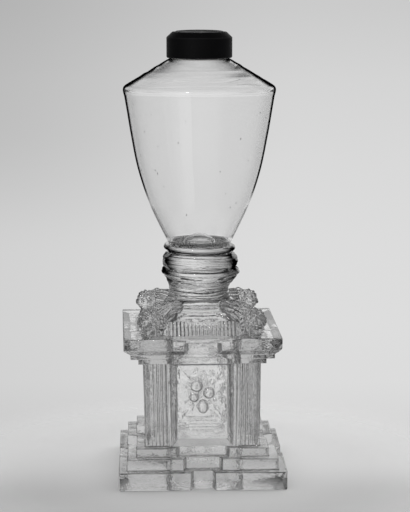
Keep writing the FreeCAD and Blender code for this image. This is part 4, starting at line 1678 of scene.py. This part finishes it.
@dataclass
class Studio:
    """Pale sweep behind the lamp, the table under it and the soft lamps.

    A span is where a share sets in and where it ends, along one part of a direction (-1 to 1). Each share is what
    is left of the light there.
    """

    sweep_hexes: Bands = (
        (-0.31, "bdbdbd"), (-0.29, "c6c6c6"), (-0.27, "d1d1d1"), (-0.2575, "d6d6d6"), (-0.233, "dcdcdc"),
        (-0.20, "dddddd"), (-0.155, "dcdcdc"), (-0.11, "d9d9d9"), (-0.064, "d4d4d4"), (-0.023, "cbcbcb"),
        (0.1, "c0c0c0"),
    )
    room_hexes: Bands = (
        (-1.0, "bcbcbc"), (-0.5, "e0e0e0"), (-0.38, "e4e4e4"), (-0.26, "dddddd"), (0.0, "dcdcdc"),
        (0.12, "eaeaea"), (0.25, "f4f4f4"), (0.4, "c8c8c8"), (0.6, "707070"), (1.0, "404040"),
    )
    side_shares: Pair = (0.888, 0.745)  # the sweep's left side, low and high
    side_span: Pair = (-0.12, 0.1)
    side_rise: Pair = (-0.17, -0.09)
    fill_strength: float = 0.8
    behind_share: float = 0.5  # the room on the viewer's side
    behind_span: Pair = (-0.3, 0.8)
    left_share: float = 0.62
    left_span: Pair = (-0.35, 0.05)
    wing_share: float = 0.36  # the room on both sides
    wing_span: Pair = (0.36, 0.7)
    table_shade_hexes: tuple[str, str] = ("cecece", "e3e3e3")  # painted shade: darker at the front than at the back
    table_depths: Pair = (-55.0, 10.0)
    table_radius: float = 190.0
    table_span: Pair = (-3.0, -0.3)
    table_sides: int = 96
    fade_shares: Pair = (0.3, 0.95)  # of the table's radius
    # painted light: patches that glow on the table under the base
    patch_mm: float = 3.0
    patch_span: Pair = (0.38, 0.66)
    patch_lights: Pair = (0.0, 0.36)
    patch_reach: Pair = (36.0, 44.0)
    bounces: int = 32
    lamps: tuple[StudioLamp, ...] = (
        StudioLamp("softbox", (900, 300, 900), (0, 0, 60), (500, 500), 4.0),
        StudioLamp("spark_light", (-250, -520, 900), (0, 0, 60), (90, 90), 0.7, LampRole.MIRROR),
        StudioLamp("window", (-465, -997, 100), (0, 0, 100), (388, 2600), 1.0, LampRole.MIRROR),
        StudioLamp("window_middle", (-575, -938, 100), (0, 0, 100), (652, 2600), 1.6, LampRole.MIRROR),
        StudioLamp("window_side", (-670, -873, 100), (0, 0, 100), (911, 2600), 2.2, LampRole.MIRROR),
    )

    @staticmethod
    def bands(tree: bpy.types.NodeTree, height: bpy.types.NodeSocket, hexes: Bands) -> bpy.types.NodeSocket:
        """Colour a direction by how far it points up.

        Args:
            tree: Node tree that takes the nodes.
            height: Upward part of the direction, from -1 to 1.
            hexes: Heights with their colours, from the lowest up.

        Returns:
            The colour.
        """
        low, high = hexes[0][0], hexes[-1][0]
        share = add_node(tree, "MapRange", {"Value": height, 1: low, 2: high})
        colour = add_node(tree, "ValToRGB", {0: share})
        marks = colour.node.color_ramp.elements
        while len(marks) < len(hexes):
            marks.new(0.5)
        for mark, (place, hex_colour) in zip(marks, hexes):
            mark.position = (place - low) / (high - low)
            mark.color = to_linear(hex_colour)
        return colour

    def world(self) -> None:
        """Light the room: a pale sweep all round at eye height, dimmer above and towards the viewer's side."""
        world = bpy.data.worlds.new("sweep")
        bpy.context.scene.world = world
        world.use_nodes = True
        tree = world.node_tree
        tree.nodes.clear()
        x, y, z = add_node(tree, "SeparateXYZ", {0: add_node(tree, "TexCoord", out="Generated")}).node.outputs
        dim_side = add_node(tree, "MapRange", {
            "Value": z, 1: self.side_rise[0], 2: self.side_rise[1], 3: self.side_shares[0], 4: self.side_shares[1],
        }, interpolation_type="SMOOTHSTEP")
        across = add_node(tree, "MapRange", {
            "Value": x, 1: self.side_span[0], 2: self.side_span[1], 3: dim_side, 4: 1.0,
        }, interpolation_type="SMOOTHSTEP")
        around = add_node(tree, "Math", {0: x}, operation="ABSOLUTE")
        reach = 1.0
        for way, (start, end), (first, last) in (
            (y, self.behind_span, (self.behind_share, 1.0)), (around, self.wing_span, (1.0, self.wing_share)),
            (x, self.left_span, (self.left_share, 1.0)),
        ):
            share = add_node(tree, "MapRange", {"Value": way, 1: start, 2: end, 3: first, 4: last},
                             interpolation_type="SMOOTHSTEP")
            reach = add_node(tree, "Math", {0: reach, 1: share}, operation="MULTIPLY")
        skies = []
        for hexes, share in ((self.sweep_hexes, across), (self.room_hexes, reach)):
            colour = add_node(tree, "Mix", {"Factor": 1.0, 6: self.bands(tree, z, hexes), 7: share}, 2,
                              data_type="RGBA", blend_type="MULTIPLY")
            skies.append(add_node(tree, "Background", {"Color": colour, "Strength": 1.0}))
        fill = add_node(tree, "Background", {"Color": to_linear("ffffff"), "Strength": self.fill_strength})
        path = add_node(tree, "LightPath").node.outputs
        bent = add_node(tree, "Math", {0: path["Is Glossy Ray"], 1: path["Is Transmission Ray"]}, operation="MAXIMUM")
        room = add_node(tree, "MixShader", {0: bent, 1: fill, 2: skies[1]})
        sky = add_node(tree, "MixShader", {0: path["Is Camera Ray"], 1: room, 2: skies[0]})
        add_node(tree, "OutputWorld", {"Surface": sky})

    def gathered_light(self, tree: bpy.types.NodeTree, place: bpy.types.NodeSocket) -> bpy.types.NodeSocket:
        """Painted light: patches that glow on the table right under the base, standing in for light that the glass
        gathers there.

        Args:
            tree: Node tree that takes the nodes.
            place: Place on the table.

        Returns:
            The shader of that light.
        """
        around = add_node(tree, "VectorMath", {0: place}, operation="ABSOLUTE")
        x, y, _ = add_node(tree, "SeparateXYZ", {0: around}).node.outputs
        far = add_node(tree, "Math", {0: x, 1: y}, operation="MAXIMUM")
        under = add_node(tree, "MapRange", {
            "Value": far, 1: self.patch_reach[0] * MM, 2: self.patch_reach[1] * MM, 3: 1.0, 4: 0.0,
        }, interpolation_type="SMOOTHSTEP")
        patches = add_node(tree, "TexNoise", {
            "Vector": place, "Scale": 1 / (self.patch_mm * MM), "Detail": 3.0, "Roughness": 0.6,
        }, "Fac")
        bright = add_node(tree, "MapRange", {
            "Value": patches, 1: self.patch_span[0], 2: self.patch_span[1],
            3: self.patch_lights[0], 4: self.patch_lights[1],
        })
        power = add_node(tree, "Math", {0: under, 1: bright}, operation="MULTIPLY")
        return add_node(tree, "Emission", {"Strength": power})

    def table_paint(self) -> bpy.types.Material:
        """Mix the table's dull paint, with painted shade that darkens it towards the front, and fade it out where the
        sweep begins.

        Returns:
            The material.
        """
        material = new_material("painted_table")
        tree = material.node_tree
        place = add_node(tree, "TexCoord", out="Object")
        radius = self.table_radius * MM
        fade = add_node(tree, "MapRange", {
            "Value": add_node(tree, "VectorMath", {0: place}, "Value", operation="LENGTH"),
            1: self.fade_shares[0] * radius, 2: self.fade_shares[1] * radius,
        }, interpolation_type="SMOOTHSTEP")
        back = add_node(tree, "MapRange", {
            "Value": add_node(tree, "SeparateXYZ", {0: place}, "Y"),
            1: self.table_depths[0] * MM, 2: self.table_depths[1] * MM,
        }, interpolation_type="SMOOTHSTEP")
        # painted shade: the paint darkens from the back towards the front
        front_hex, back_hex = self.table_shade_hexes
        shade = add_node(tree, "Mix", {"Factor": back, 6: to_linear(front_hex), 7: to_linear(back_hex)}, 2,
                         data_type="RGBA")
        paint = add_node(tree, "BsdfDiffuse", {"Color": shade})
        lit = add_node(tree, "AddShader", {0: paint, 1: self.gathered_light(tree, place)})
        clear = add_node(tree, "BsdfTransparent")
        add_node(tree, "OutputMaterial", {"Surface": add_node(tree, "MixShader", {0: fade, 1: lit, 2: clear})})
        return material

    def table(self) -> None:
        """Lay the pale table top, which fades into the sweep."""
        blank = Blank()
        blank.loft([circle(self.table_radius, z, self.table_sides) for z in self.table_span])
        piece = blank.to_object("table_top")
        piece.data.materials.append(self.table_paint())

    def build(self) -> None:
        """Set up the whole studio, with enough bounces for light to get through all the glass."""
        self.world()
        self.table()
        for lamp in self.lamps:
            lamp.build()
        cycles = bpy.context.scene.cycles
        cycles.max_bounces = self.bounces
        cycles.transmission_bounces = self.bounces
        cycles.transparent_max_bounces = self.bounces


@dataclass
class PlateCamera:
    """Long lens a little above the lamp, as the photograph was taken."""

    place_mm: Triple = (-31.82, -939.46, 275.0)
    bearing_deg: float = 2.087
    pitch_deg: float = -9.44
    lens: float = 123.05
    sensor_width: float = 36.0

    def build(self) -> None:
        """Set up the camera that the picture is taken with."""
        data = bpy.data.cameras.new("plate_camera")
        data.lens = self.lens
        data.sensor_width = self.sensor_width
        camera = bpy.data.objects.new("plate_camera", data)
        camera.location = Vector(self.place_mm) * MM
        bearing, pitch = math.radians(self.bearing_deg), math.radians(self.pitch_deg)
        ahead = Vector((math.sin(bearing) * math.cos(pitch), math.cos(bearing) * math.cos(pitch), math.sin(pitch)))
        camera.rotation_euler = ahead.to_track_quat("-Z", "Y").to_euler()
        bpy.context.scene.collection.objects.link(camera)
        bpy.context.scene.camera = camera


def main() -> None:
    """Build the lamp, the studio and the camera; each piece's face count is logged."""
    logging.basicConfig(level=logging.INFO, format="%(name)s: %(message)s")
    bpy.context.scene.view_settings.view_transform = "Standard"
    joint = FusedJoint()
    haze_per_m = 4.7
    pressed_joint = FusedJoint("fused_base_joint", haze_per_m)
    # The dark edge colours below are painted shade on slanted faces; a white foot keeps that shade off the glass below
    # it.
    blown = ClearGlass("blown_glass", 22.0, 0.06, edge_shade_hex="080808", edge_span=(0.72, 0.81), foot_shade_mm=(146.0, 158.0))
    # painted shade: the trough of the font's floor is painted grey
    inside = ClearGlass("blown_glass_inside", 22.0, 0.06, foot_shade_hex="a6a6a6", foot_shade_mm=(127.0, 127.6))
    shoulder = ClearGlass("blown_glass_shoulder", 22.0, 0.06, edge_shade_hex="505050", edge_span=(0.46, 0.86),
                          foot_shade_mm=(214.0, 218.0))
    # the tooled rings' painted shade breaks into dark patches
    tooled = ClearGlass("tooled_glass", 8.0, 0.4, ripple_flatness=2.0, face_hex="fafafa", edge_shade_hex="0c0c0c",
                        edge_span=(0.3, 0.54), patch_span=(0.42, 0.54), foot_shade_mm=(103.0, 107.5))
    pressed = ClearGlass("pressed_glass", 5.0, 0.3, pit_depth_mm=0.18, edge_shade_hex="a6a6a6", foot_shade_mm=(0.0, 1.0),
                         roughness=0.03, shadow_hex="f2f2f2", haze_per_m=haze_per_m, calm_mm=(80.0, 81.3))
    PressedBase(pressed, pressed_joint).build()
    StemRings(tooled, joint).build()
    BlownFont(blown, joint, inside, shoulder).build()
    Collar().build()
    Studio().build()
    PlateCamera().build()
    bpy.context.view_layer.update()


if __name__ == "__main__":
    main()
